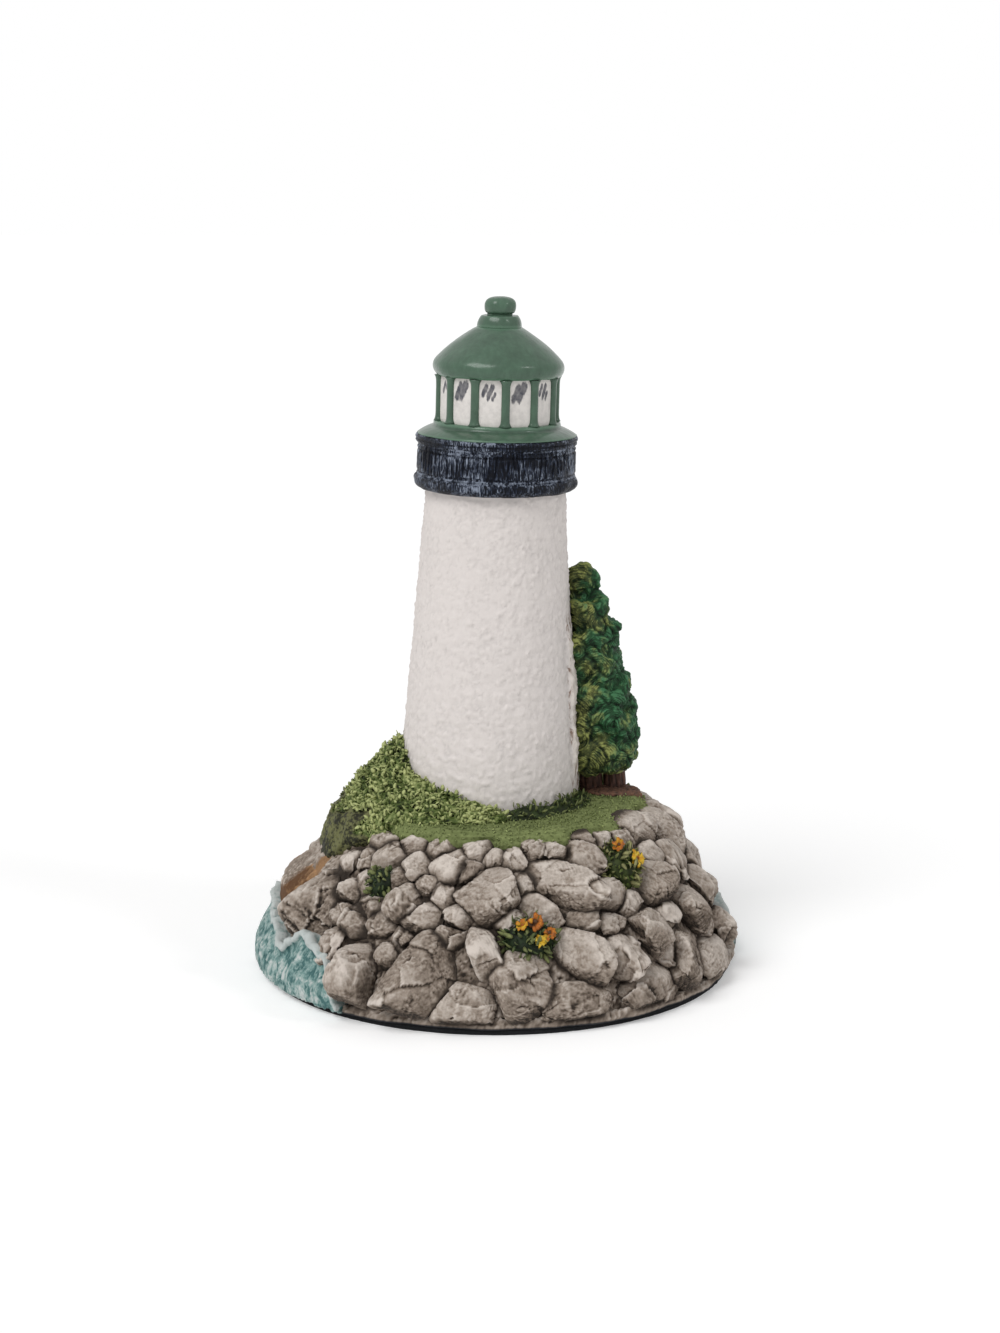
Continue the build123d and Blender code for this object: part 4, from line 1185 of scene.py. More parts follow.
def sea_paint(look):
    """Turquoise water brushed light and dark, with grey-white crests and streaks."""
    paint = Paint("painted_sea")
    place = paint.place()
    worn = paint.field("worn")
    cloud = paint.noise(place, 0.26, 3.0, 0.6, 1.5) - 0.5
    brush = paint.drawn(place, (1.0, 1.0, 0.6), 0.5, 5.0, 0.68, 2.2) - 0.5
    grit = paint.noise(place, 1.0, 4.0, 0.65) - 0.5
    share = 0.34 + 1.9 * cloud + 1.5 * brush + 0.9 * worn + 0.22 * paint.field("chop").between(0.55, 1.0)
    water = paint.ramp(share, (0.22, look.deep), (0.46, look.shallow), (0.68, look.light),
                       (0.90, look.foam))
    white = (paint.field("foam") + 1.2 * grit).between(0.35, 0.65)
    froth = paint.ramp(0.5 + 1.5 * grit + 1.2 * worn, (0.15, look.shallow), (0.65, look.foam))
    return paint.finish(paint.blend(white, water, froth), 0.45 + 0.3 * white,
                        Specular_IOR_Level=0.3, Normal=paint.bump(brush, 0.5, 0.8))


def sand_paint(look, rock):
    """Orange-brown sand with darker hollows, and a grey rocky hump between its front and its far end."""
    paint = Paint("painted_sand")
    place = paint.place()
    worn = paint.field("worn")
    cloud = paint.noise(place, 0.3, 4.0, 0.6)
    grit = paint.noise(place, 2.0, 4.0, 0.75)
    x, y, height = (paint.axis(place, label) for label in "XYZ")
    share = 0.9 * cloud + 0.3 * grit + 1.2 * worn - 0.3 * (1.0 - height.between(15.0, 20.5))
    sand = paint.ramp(share, (0.40, look.wet_sand), (0.62, look.sand), (0.8, shaded(look.sand, 1.5)))
    stone = paint.ramp(0.3 * cloud + 0.7 * grit + 2.5 * worn, (0.3, rock.stone), (0.6, rock.worn),
                       (0.8, rock.dust_and_highlight))
    facing, distance = BEACH_SIDE
    above = facing[0] * x + facing[1] * y + facing[2] * height - distance
    front = (above + 0.6 * (cloud - 0.5) + 1.6 * (grit - 0.5)).between(1.6, 2.6)
    rocky = front * (1.0 - (y + 6.0 * (cloud - 0.5)).between(4.5, 6.0))
    return paint.finish(paint.blend(rocky, sand, stone), 0.8 + 0.15 * grit,
                        Normal=paint.bump(grit, 0.2, 0.8), Specular_IOR_Level=0.25)


def turf_paint(look):
    """Short green blades, lighter at their tips, over darker ground."""
    paint = Paint("painted_turf")
    place = paint.place()
    cloud = paint.noise(place, 0.18, 3.0)
    grit = paint.noise(place, 1.6, 4.0, 0.75)
    share = 0.4 * cloud + 0.4 * grit + 1.0 * paint.field("worn") + 0.22 * paint.field("tip") \
        + 0.30 * (paint.field("tone") - 0.5)
    colour = paint.ramp(share, (0.22, look.turf_shade), (0.50, look.turf), (0.85, shaded(look.turf, 1.7)))
    return paint.finish(colour, 0.85 + 0.1 * grit, Normal=paint.bump(grit, 0.15, 0.8),
                        Specular_IOR_Level=0.2)


def ivy_paint(look):
    """Dark hollows, mid green leaves with dry-brushed tips, and a smooth olive patch."""
    paint = Paint("painted_ivy")
    place = paint.place()
    worn = paint.field("worn")
    cloud = paint.noise(place, 0.2, 3.0) - 0.5
    grit = paint.noise(place, 1.6, 4.0, 0.7) - 0.5
    share = 0.07 + 1.25 * paint.field("tip") * (0.12 + 0.88 * paint.field("tone")) + 0.8 * worn \
        + 1.15 * cloud + 0.25 * grit
    leafy = paint.ramp(share, (0.04, look.ivy_dark), (0.30, look.ivy), (0.66, look.ivy_tip))
    olive = paint.ramp(0.42 + 3.2 * cloud + 3.0 * grit + 1.2 * worn, (0.20, shaded(look.olive, 0.12)),
                       (0.75, shaded(look.olive, 1.15)))
    colour = paint.blend(paint.field("bare").between(0.3, 0.7), leafy, olive)
    return paint.finish(colour, 0.62 + 0.25 * grit, Normal=paint.bump(grit, 0.12, 0.6),
                        Specular_IOR_Level=0.22)


def foliage_paint(look):
    """Deep green on the seaward side, olive towards tower and ground, with lighter combed strokes; painted
    light makes the tops of the clumps lighter, and painted shade their seams and undersides darker.
    """
    paint = Paint("painted_foliage")
    place = paint.place()
    cloud = paint.noise(place, 0.22, 3.0) - 0.5
    mottle = paint.noise(place, 0.45, 4.0, 0.65) - 0.5
    olive = paint.field("sunny") + 2.4 * cloud + 2.0 * mottle + 0.4 * (paint.field("tone") - 0.5)
    olive = olive.between(0.10, 0.90)
    body = paint.blend(olive, look.leaf, look.leaf_olive)
    stroke = paint.blend(olive, look.leaf_light, look.leaf_tip)
    turn = (paint.field("reach") + 1.3 * (paint.noise(place, 0.5, 2.0) - 0.5)) * (FULL_TURN / 0.42)
    hair = turn.wave() * paint.noise(place, 0.6, 3.0).between(0.35, 0.6)
    fleck = paint.noise(place, 1.1, 4.0, 0.7) - 0.5
    # Painted light: tops of the clumps are painted lighter and undersides darker, raised parts lighter, and
    # the seams between clumps darker as painted shade.
    share = 0.14 + 0.10 * paint.field("tip") + 1.0 * paint.field("worn") + 1.2 * fleck + 0.20 * hair \
        + 0.8 * paint.field("proud") + 1.5 * mottle + 0.20 * paint.facing_up() \
        + 0.05 * paint.field("seam").least(1.0)
    colour = paint.blend(share.between(-0.22, 0.26), look.leaf_dark, body)
    colour = paint.blend(share.between(0.22, 0.72) * 0.9, colour, stroke)
    return paint.finish(colour, 0.42 + 0.3 * paint.noise(place, 0.9, 2.0),
                        Specular_IOR_Level=0.2, Normal=paint.bump(fleck + 0.35 * hair, 0.18, 0.8))


def litter_paint(name, colour, light):
    """Brown paint with lighter scrapes."""
    paint = Paint(name)
    grit = paint.drawn(paint.place(), (1.4, 1.4, 0.5), 1.4, 4.0, 0.7)
    share = grit + 2.0 * paint.field("worn")
    mixed = paint.ramp(share, (0.3, shaded(colour, 0.25)), (0.52, colour), (0.85, shaded(colour, light)))
    return paint.finish(mixed, 0.6 + 0.3 * grit, Normal=paint.bump(grit, 0.2, 0.7))


def leaf_paint(name, leaf, light):
    """Leaves that are dark at their roots, with paler tips."""
    paint = Paint(name)
    cloud = paint.noise(paint.place(), 0.8, 3.0) - 0.5
    share = 0.10 + 0.50 * paint.field("tip") + 0.45 * paint.field("tone") + 0.8 * cloud
    colour = paint.ramp(share, (0.04, shaded(leaf, 0.18)), (0.40, leaf), (0.70, shaded(light, 0.42)),
                        (1.0, light))
    return paint.finish(colour, 0.55 + 0.2 * share, Specular_IOR_Level=0.2)


def blossom_paint(look):
    """Petals from orange hearts to yellow tips."""
    paint = Paint("painted_blossom")
    cloud = paint.noise(paint.place(), 0.9, 3.0) - 0.5
    share = 0.75 * paint.field("tip") + 0.9 * (paint.field("tone") - 0.5) + 1.5 * cloud
    colour = paint.ramp(share, (0.0, BLOSSOM_HEART), (0.32, look.orange), (0.66, look.yellow),
                        (1.0, BLOSSOM_GLINT))
    return paint.finish(colour, 0.55 + 0.1 * share, Specular_IOR_Level=0.35)


def tower_paint(look):
    """Off-white stucco, a little darker in its hollows, with brown marks beside the evergreen."""
    paint = Paint("painted_tower")
    place = paint.place()
    cloud = paint.noise(place, 0.14, 3.0)
    grit = paint.noise(place, 2.0, 4.0, 0.65)
    share = 0.5 + 0.5 * (cloud - 0.5) + 0.45 * (grit - 0.5) + 2.8 * paint.field("worn")
    colour = paint.ramp(share, (0.1, shaded(look.white, 0.80)), (0.5, look.white),
                        (0.95, shaded(look.white, 1.06)))
    marks = paint.drawn(place, (1.0, 1.0, 0.25), 0.8, 4.0, 0.65, 1.0).between(0.49, 0.62)
    web = paint.field("web")
    colour = paint.blend(web.between(0.3, 0.9) * 0.6, colour, look.cream)
    edge = web.between(0.02, 0.25) * (1.0 - 0.75 * web.between(0.5, 1.0))
    colour = paint.blend(edge * marks * 0.9, colour, look.stain)
    return paint.finish(colour, 0.78 + 0.12 * grit, Specular_IOR_Level=0.3,
                        Normal=paint.bump(grit, 0.12, 0.5))


def gallery_paint(look):
    """Black-navy with scratchy blue-grey dry brushing, thickest on the parapet, and painted shade in the
    scribed lines and other hollows.
    """
    paint = Paint("painted_gallery")
    place = paint.place()
    upright = paint.drawn(place, (1.5, 1.5, 0.28), 1.3, 4.0, 0.72, 0.8)
    level = paint.drawn(place, (0.25, 0.25, 2.4), 0.8, 4.0, 0.7)
    patch = paint.noise(place, 0.20, 3.0, 0.6) - 0.5
    scratch = paint.drawn(place, (1.6, 1.6, 0.22), 2.6, 3.0, 0.7).between(0.40, 0.62) - 0.5
    worn = paint.field("worn")
    broken = paint.noise(place, 0.5, 3.0, 0.6).between(0.44, 0.60)
    # Painted shade: hollows such as the scribed lines are painted darker, while the lightening of raised
    # edges is capped.
    share = 0.75 * upright + 0.25 * level + 0.50 * scratch + 1.5 * patch + 1.4 * worn.least(0.06) \
        + 0.36 * broken * (worn - 0.06).between(0.0, 0.3) - 0.13 * (1.0 - paint.field("dry"))
    colour = paint.ramp(share, (0.40, look.navy), (0.63, look.navy_light),
                        (0.77, shaded(look.navy_brush, 0.5)), (0.92, look.navy_brush))
    return paint.finish(colour, 0.18 + 0.3 * upright, Specular_IOR_Level=0.13,
                        Normal=paint.bump(upright + 0.6 * level + 0.4 * scratch, 0.35, 0.8))


def lantern_paint(look):
    """Semi-gloss green enamel, thicker and thinner here and there."""
    paint = Paint("painted_lantern")
    place = paint.place()
    cloud = paint.noise(place, 0.3, 3.0)
    drag = paint.drawn(place, (1.0, 1.0, 0.4), 1.0, 3.0, 0.6)
    share = 0.5 * cloud + 0.5 * drag + 2.0 * paint.field("worn")
    colour = paint.ramp(share, (0.25, shaded(look.green, 0.72)), (0.5, look.green),
                        (0.85, shaded(look.green, 1.5)))
    return paint.finish(colour, 0.24 + 0.12 * drag, Specular_IOR_Level=0.2,
                        Coat_Weight=0.32, Coat_Roughness=0.14,
                        Normal=paint.bump(0.6 * drag + 0.4 * cloud, 0.25, 0.35))


def pane_paint(look):
    """White panes with a few dark strokes in their upper part."""
    paint = Paint("painted_panes")
    place = paint.place()
    grit = paint.noise(place, 1.1, 3.0)
    base = paint.ramp(grit, (0.3, shaded(look.pane, 0.85)), (0.6, look.pane))
    drag = paint.drawn(place, (2.0, 2.0, 0.7), 1.5, 3.0, 0.6)
    stroke = (paint.field("stroke") + 1.2 * (drag - 0.5)).between(0.35, 0.8)
    colour = paint.blend(stroke * (0.75 + 0.8 * (grit - 0.35)).least(0.96), base, look.smudge)
    return paint.finish(colour, 0.5 + 0.15 * grit, Normal=paint.bump(grit, 0.15, 0.4))


def felt_paint(look):
    """Dark felt with a fibrous grain."""
    paint = Paint("felt")
    fibre = paint.drawn(paint.place(), (1.0, 1.0, 3.0), 3.0, 4.0, 0.8)
    colour = paint.ramp(fibre, (0.3, shaded(look.felt, 0.5)), (0.55, look.felt),
                        (0.8, shaded(look.felt, 2.6)))
    return paint.finish(colour, 0.9 + 0.1 * fibre, Specular_IOR_Level=0.15,
                        Normal=paint.bump(fibre, 0.2, 0.8))


# Operators, one for each piece or group of like pieces

class FIGURINE_OT_felt(bpy.types.Operator):
    """Cuts the felt pad that the figurine stands on"""

    bl_idname = "figurine.felt"
    bl_label = "Felt Pad"

    def execute(self, context):
        look = context.scene.figurine_felt
        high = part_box("felt_pad")[1]
        radius, thick = high.x / MM, high.z / MM
        outline = [(0, 0), (radius - 0.15, 0), (radius, 0.25 * thick), (radius, 0.75 * thick),
                   (radius - 0.15, thick), (0, thick)]
        dice = random.Random(5)
        waves = [(number, dice.uniform(0, 6.28), dice.uniform(0.2, 1.0)) for number in range(20, 160, 7)]
        reach = look.fuzz / MM

        def cut(angle, height):
            """How far the ragged edge falls short of the outline."""
            wander = sum(share * np.sin(number * angle + phase) for number, phase, share in waves)
            return (wander / len(waves) - 1.0) * reach

        points, faces, _, _ = turned(outline, 2.0, 360, cut)
        piece = modelled("felt_pad_cut", points, faces)
        piece.data.materials.append(felt_paint(look))
        place_on_frame(piece, "felt", "felt_pad")
        return {"FINISHED"}


class FIGURINE_OT_mound(bpy.types.Operator):
    """Models the mound with the rubble that shows between the boulders"""

    bl_idname = "figurine.mound"
    bl_label = "Rock Mound"

    def execute(self, context):
        look, sand = context.scene.figurine_rock, context.scene.figurine_sea.sand
        rim_top, brow = SLOPE_FOOT[1], SLOPE_BROW[1]
        outline = [(0, FELT_TOP), (FOOT_RADIUS - 0.3, FELT_TOP), (FOOT_RADIUS, FELT_TOP + 0.3),
                   (FOOT_RADIUS, rim_top - 0.6), (FOOT_RADIUS - 0.4, rim_top), *slope_line(), (0, brow)]
        points, faces, angles, heights = turned(outline, 0.34, 720, self.wander)
        degrees = np.degrees(angles)
        sandy = np.clip(1.4 - np.abs(degrees - BEACH_AZIMUTH) / 3.0, 0, 1) * portion(heights - 17.5, 2) \
            * portion(23.5 - heights, 2) * (points @ BEACH_SIDE[0] < BEACH_SIDE[1] + 1.4)
        slope = portion(heights - FELT_TOP, 0.7) * portion(brow - 0.2 - heights, 2)
        slope[(degrees < SEA_RUN[-1][0]) & (heights < eased(SEA_RUN, degrees))] = 0
        near = nearest_boulder(points, every_boulder(look.seed)) + 0.1
        mound = modelled("rubble_mound", points, faces, slope=slope * (1 - 0.7 * sandy), near=near + sandy,
                         sandy=sandy, tone=0.1, facet=0.2)
        dress(mound, rubble_relief(), rock_paint(look, sand, "painted_rubble", 1.4), "rock", "rock_mound",
              Stones=1.0 * MM, Grit=1.1 * MM, Sink=0.5 * MM)
        return {"FINISHED"}

    def wander(self, angle, height):
        """How the foot of the mound wanders in and out."""
        waves = 0.26 * np.sin(5 * angle + 0.4) + 0.20 * np.sin(12 * angle + 1.9) \
            + 0.14 * np.sin(29 * angle + 4.0)
        return (waves - 0.1) * portion(4.0 - height, 1.6)


class FIGURINE_OT_boulders(bpy.types.Operator):
    """Chips, tools and paints the boulders"""

    bl_idname = "figurine.boulders"
    bl_label = "Boulders"

    def execute(self, context):
        look = context.scene.figurine_rock
        dice = random.Random(look.seed + 1)
        relief, paint = stone_relief(), rock_paint(look, look.stone, "painted_rock", 0.5)
        all_lumps = every_boulder(look.seed)
        for node, lumps in boulder_lumps(look.seed).items():
            lump, rough, shade = (3.4, 2.1, 0.5) if node == "left_boulders" else (1.8, 1.3, 1.0)
            finest = 5 if node == "back_boulders" else 6
            piece = boulder_piece(node + "_tooled", lumps, all_lumps, dice, finest, shade)
            dress(piece, relief, paint, "rock", node, Lump=lump * look.lump, Crack=look.crack,
                  Hatch=look.hatch, Rough=rough * look.rough)
        return {"FINISHED"}


class FIGURINE_OT_sea(bpy.types.Operator):
    """Shapes the swells and the foam of the sea, and the beach beside them"""

    bl_idname = "figurine.sea"
    bl_label = "Sea and Beach"

    def execute(self, context):
        look, rock = context.scene.figurine_sea, context.scene.figurine_rock
        azimuths = np.linspace(SEA_RUN[0][0], SEA_RUN[-1][0], SEA_SECTIONS)
        crests = eased(SEA_RUN, azimuths) + self.ragged(azimuths)
        points, foams = [], []
        for angle, crest, lip in zip(np.radians(azimuths), crests, eased(SEA_LIPS, azimuths)):
            radius, height = self.section(crest, lip).T
            points.append(np.column_stack([radius * math.cos(angle), radius * math.sin(angle), height]))
            foams.append(portion(height - crest + 1.3, 0.6))
        count = SEA_SECTIONS * SEA_AROUND
        faces = [(a, d, c, b) for a, b, c, d in ring_faces(SEA_SECTIONS, SEA_AROUND)]
        faces += [tuple(range(SEA_AROUND)), tuple(reversed(range(count - SEA_AROUND, count)))]
        sea = modelled("breaking_sea", np.vstack(points), faces, foam=np.concatenate(foams))
        close_up(sea.data)
        dress(sea, wave_relief(), sea_paint(look), "sea", "sea", Chop=look.chop)
        beach = soft_copy("sandy_beach", "beach", 0.35, 6)
        dress(beach, grain_relief(), sand_paint(look, rock), "sand", "beach", Grain=0.35 * MM,
              Swell=1.4 * MM)
        return {"FINISHED"}

    def section(self, crest, thick):
        """The sea cut through at one azimuth, as an even loop of (radius, height) points."""
        line = slope_line(80)
        lip = np.interp(crest, line[:, 1], line[:, 0]) + 2.6
        bed, swell = lip - 5.0, FELT_TOP + 0.35 * (crest - FELT_TOP)
        loop = np.array([
            (bed, FELT_TOP), (SEA_RADIUS - 0.3, FELT_TOP), (SEA_RADIUS, FELT_TOP + 0.1),
            (SEA_RADIUS + 0.1, FELT_TOP + 0.8), (SEA_RADIUS + 0.15, swell), (lip + 0.5, crest - 1.8),
            (lip + 0.6, crest - 1.1), (lip + 0.3 + 0.7 * thick, crest - 0.6),
            (lip + 0.2 + 0.6 * thick, crest + 0.3), (lip + 0.6 - 0.8 * thick, crest + 0.1),
            (bed, crest - 1.6),
        ])
        for _ in range(3):
            after = np.roll(loop, -1, axis=0)
            halves = [0.75 * loop + 0.25 * after, 0.25 * loop + 0.75 * after]
            loop = np.stack(halves, axis=1).reshape(-1, 2)
        return even_loop(loop, SEA_AROUND)

    def ragged(self, azimuths):
        """How the crest rises and falls from one small wave to the next."""
        dice = random.Random(41)
        waves = [(dice.uniform(0.5, 2.4), dice.uniform(0, 6.28)) for _ in range(9)]
        return sum(0.06 * np.sin(pace * azimuths + start) for pace, start in waves)


class FIGURINE_OT_planting(bpy.types.Operator):
    """Lays the turf, the ivy bank and the grass at the foot of the tower"""

    bl_idname = "figurine.planting"
    bl_label = "Turf, Ivy and Grass"

    def execute(self, context):
        look = context.scene.figurine_plants
        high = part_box("turf")[1]
        top, edge = high.z / MM, high.x / MM
        outline = [(0, top - 3.2), (edge - 0.6, top - 3.2), (edge + 0.3, top - 2.8),
                   (edge + 0.3, top - 1.7), (edge - 0.3, top - 0.7), (edge - 1.4, top - 0.1),
                   (edge - 3.0, top), (13, top), (0, top)]
        points, faces, _, heights = turned(outline, 0.32, 560, self.ragged)
        grown = (np.hypot(points[:, 0], points[:, 1]) > 14) & (heights > top - 2.6)
        turf = modelled("grainy_turf", points, faces, grown=grown)
        dress(turf, turf_scatter(), turf_paint(look), "turf", "turf", Grain=0.2 * MM, Swell=0.7 * MM,
              Length=0.7 * MM, Width=0.34 * MM, Spacing=0.46 * MM)
        ivy = soft_copy("leafy_ivy", "ivy_bank", 0.3, 6)
        self.mark_bare(ivy.data)
        dress(ivy, ivy_scatter(), ivy_paint(look), "ivy", "ivy_bank", Depth=look.curl, Length=1.15 * MM,
              Width=0.68 * MM, Spacing=0.46 * MM)
        fringe = soft_copy("tufted_fringe", "grass_fringe", 0.25, 2)
        dress(fringe, leaf_scatter(), leaf_paint("painted_grass", look.grass, look.grass_light), "grass",
              "grass_fringe", Length=1.5 * MM, Width=0.5 * MM, Spacing=0.5 * MM, Seed=9)
        return {"FINISHED"}

    def ragged(self, angle, height):
        """How the edge of the turf wanders over the brow."""
        wander = 0.45 * np.sin(9 * angle + 0.7) + 0.35 * np.sin(17 * angle + 2.0) \
            + 0.25 * np.sin(31 * angle + 4.1)
        return (wander - 0.2) * portion(30.6 - height, 1.2)

    def mark_bare(self, mesh):
        """Marks the smooth olive patch at the lower left of the bank, where no leaves stand."""
        x, y, z = mesh_points(mesh).T / MM
        wander = 1.2 * np.sin(0.9 * z + 0.5 * y) + 0.8 * np.sin(1.7 * y)
        mark(mesh, bare=portion(-22.0 - x + wander, 2.0) * portion(31.5 - z + wander, 2.0))


class FIGURINE_OT_tree(bpy.types.Operator):
    """Combs the tiers of the evergreen and models its stems and the litter under it"""

    bl_idname = "figurine.tree"
    bl_label = "Evergreen"

    def execute(self, context):
        look = context.scene.figurine_plants
        foliage = self.foliage_clay()
        self.add_whorls(foliage.data, random.Random(23))
        dress(foliage, comb_relief(), foliage_paint(look), "foliage", *FOLIAGE_NODES, Depth=look.comb,
              Pitch=0.9, Dome=0.36 * MM, Rough=0.6 * MM)
        bark, relief = litter_paint("painted_bark", look.bark, 2.2), grain_relief()
        brow = SLOPE_BROW[1]
        for node in ("trunk_left", "trunk_right"):
            low, high = (Vector(corner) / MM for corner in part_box(node))
            middle = (low + high) / 2
            foot = (high.x - low.x) / 2
            top = 0.83 * foot
            outline = [(0, low.z), (top, low.z), (top, brow), (foot, brow), (top, high.z), (0, high.z)]
            points, faces, _, _ = turned(outline, 0.3, 72, self.bark_ridges)
            stem = modelled(node + "_bark", points + np.array([middle.x, middle.y, 0]), faces)
            dress(stem, relief, bark, "bark", node, Grain=0.12 * MM, Swell=0.5 * MM)
        mulch = soft_copy("raked_mulch", "mulch", 0.25, 3)
        dress(mulch, relief, litter_paint("painted_mulch", look.mulch, 1.8), "mulch", "mulch",
              Grain=0.45 * MM, Swell=0.6 * MM)
        return {"FINISHED"}

    def foliage_clay(self):
        """The tiers of foliage in one skin, grown and shrunk again so that the gaps in them are filled."""
        name = "combed_foliage"
        shell = merged(*(cad_mesh(node) for node in FOLIAGE_NODES))
        clay = new_object(name, poured(shell, bpy.data.meshes.new(name)))
        for voxel, growth in ((0.36, 0.45), (0.32, -0.50)):
            even_faces(clay, voxel)
            push = clay.modifiers.new("growth", "DISPLACE")
            push.strength, push.mid_level = growth * MM, 0.0
        even_faces(clay, 0.26)
        round_off(clay, 5)
        return bake_modifiers(clay)

    def add_whorls(self, mesh, dice):
        """Marks how sunny each point is, the tone of its clump, and how far it is from the clump's whorl
        and from the seam to the next clump."""
        points = mesh_points(mesh) / MM
        whorls = []
        for _ in range(4000):
            spot = points[dice.randrange(len(points))]
            if all(np.linalg.norm(spot - other) > WHORL_SPACING for other in whorls):
                whorls.append(spot)
        bent = points + 1.1 * np.sin(points[:, [1, 2, 0]] * 1.1 + 0.7 * points[:, [2, 0, 1]])
        away = np.linalg.norm(bent[:, None, :] - np.array(whorls)[None, :, :], axis=2)
        order = np.argsort(away, axis=1)
        rows, own = np.arange(len(points)), order[:, 0]
        first, second = away[rows, own], away[rows, order[:, 1]]
        centres = np.array(whorls) + [(dice.uniform(-1.5, 1.5), 0, dice.uniform(-2.5, 0.5)) for _ in whorls]
        x, _, z = points.T
        seaward = x - TREE_MIDDLE + TREE_TILT * (z - SLOPE_BROW[1])
        sunny = 0.58 - seaward / 7 + np.clip((43 - z) / 7, -0.12, 0.8) + np.clip((z - 58) / 12, 0, 0.3)
        mark(mesh, reach=np.linalg.norm(points - centres[own], axis=1), seam=(second - first) / 1.6,
             tone=np.array([dice.random() for _ in whorls])[own], sunny=np.clip(sunny, 0, 1))

    def bark_ridges(self, angle, height):
        """How far the ridges of the bark stand out."""
        return 0.12 * np.sin(9 * angle + 0.8 * np.sin(0.9 * height)) \
            + 0.07 * np.sin(17 * angle + 1.7 * height)


class FIGURINE_OT_flowers(bpy.types.Operator):
    """Grows the leaf clumps among the boulders and sets the blossoms on them"""

    bl_idname = "figurine.flowers"
    bl_label = "Flowers"

    def execute(self, context):
        look = context.scene.figurine_plants
        scatter = leaf_scatter()
        dark = leaf_paint("painted_dark_leaves", look.flower_leaf, look.grass_light)
        pale = leaf_paint("painted_pale_leaves", look.ivy, look.flower_leaf_light)
        clumps = (("leaves_front", dark, 2.0), ("leaves_side", pale, 2.0), ("leaves_left", dark, 1.4))
        for number, (node, leaf, length) in enumerate(clumps):
            clump = soft_copy(node + "_grown", node, 0.4, 8)
            dress(clump, scatter, leaf, "flower_leaf", node, Length=length * MM, Width=0.7 * MM,
                  Spacing=0.55 * MM, Seed=number + 4)
        wheel, petals = blossom_wheel(), blossom_paint(look)
        dice = random.Random(8)
        for node, hues in BLOSSOM_HUES.items():
            middles = np.array([part.mean(axis=0) for part in loose_parts(node)])
            facings = [self.facing(middle, dice) for middle in middles]
            turns = np.array([facing.to_track_quat("Z", "Y").to_euler() for facing in facings])
            sizes = [dice.uniform(0.85, 1.15) for _ in middles]
            blossoms = modelled(node + "_petals", middles, [], turn=turns, size=sizes, hue=hues)
            dress(blossoms, wheel, petals, "blossom", node, Radius=1.4 * MM, Petals=9)
        return {"FINISHED"}

    def facing(self, middle, dice):
        """Which way a blossom faces: out of the slope, more or less."""
        facing = Vector((middle[0], middle[1], 0)).normalized() * SLOPE_OUT + Vector((0, 0, BLOSSOM_UP))
        return facing + Vector((dice.uniform(-0.3, 0.3), dice.uniform(-0.3, 0.3), dice.uniform(-0.1, 0.4)))


class FIGURINE_OT_tower(bpy.types.Operator):
    """Turns the tower and gives it its stucco"""

    bl_idname = "figurine.tower"
    bl_label = "Tower"

    def execute(self, context):
        look = context.scene.figurine_tower
        shares = np.linspace(0, 1, 60)
        wall = WALL_RADIUS - WALL_TAPER * shares - WALL_BOW * shares * (1 - shares)
        outline = [(0, -1.0), (wall[0], -1.0), *zip(wall, TOWER_HEIGHT * shares), (0, TOWER_HEIGHT)]
        points, faces, angles, heights = turned(outline, 0.33, 320, self.web)
        web = portion(self.web(angles, heights), 0.7)
        tower = modelled("stucco_tower", on_tower(points), faces, web=web)
        dress(tower, wall_relief(), tower_paint(look), "tower_white", "tower", Depth=look.stucco)
        return {"FINISHED"}

    def web(self, angle, height):
        """Extra plaster where the evergreen is cast against the wall."""
        turn = (angle + math.pi) % FULL_TURN - math.pi + math.radians(6)
        side = np.clip((1 - (turn / math.radians(17)) ** 2) * 2.5, 0, 1)
        lumps = 0.75 + 0.2 * np.sin(0.61 * height) + 0.07 * np.sin(1.9 * height + 6 * angle)
        return 0.9 * side * portion(height - 4, 6) * portion(38 - height, 10) * lumps


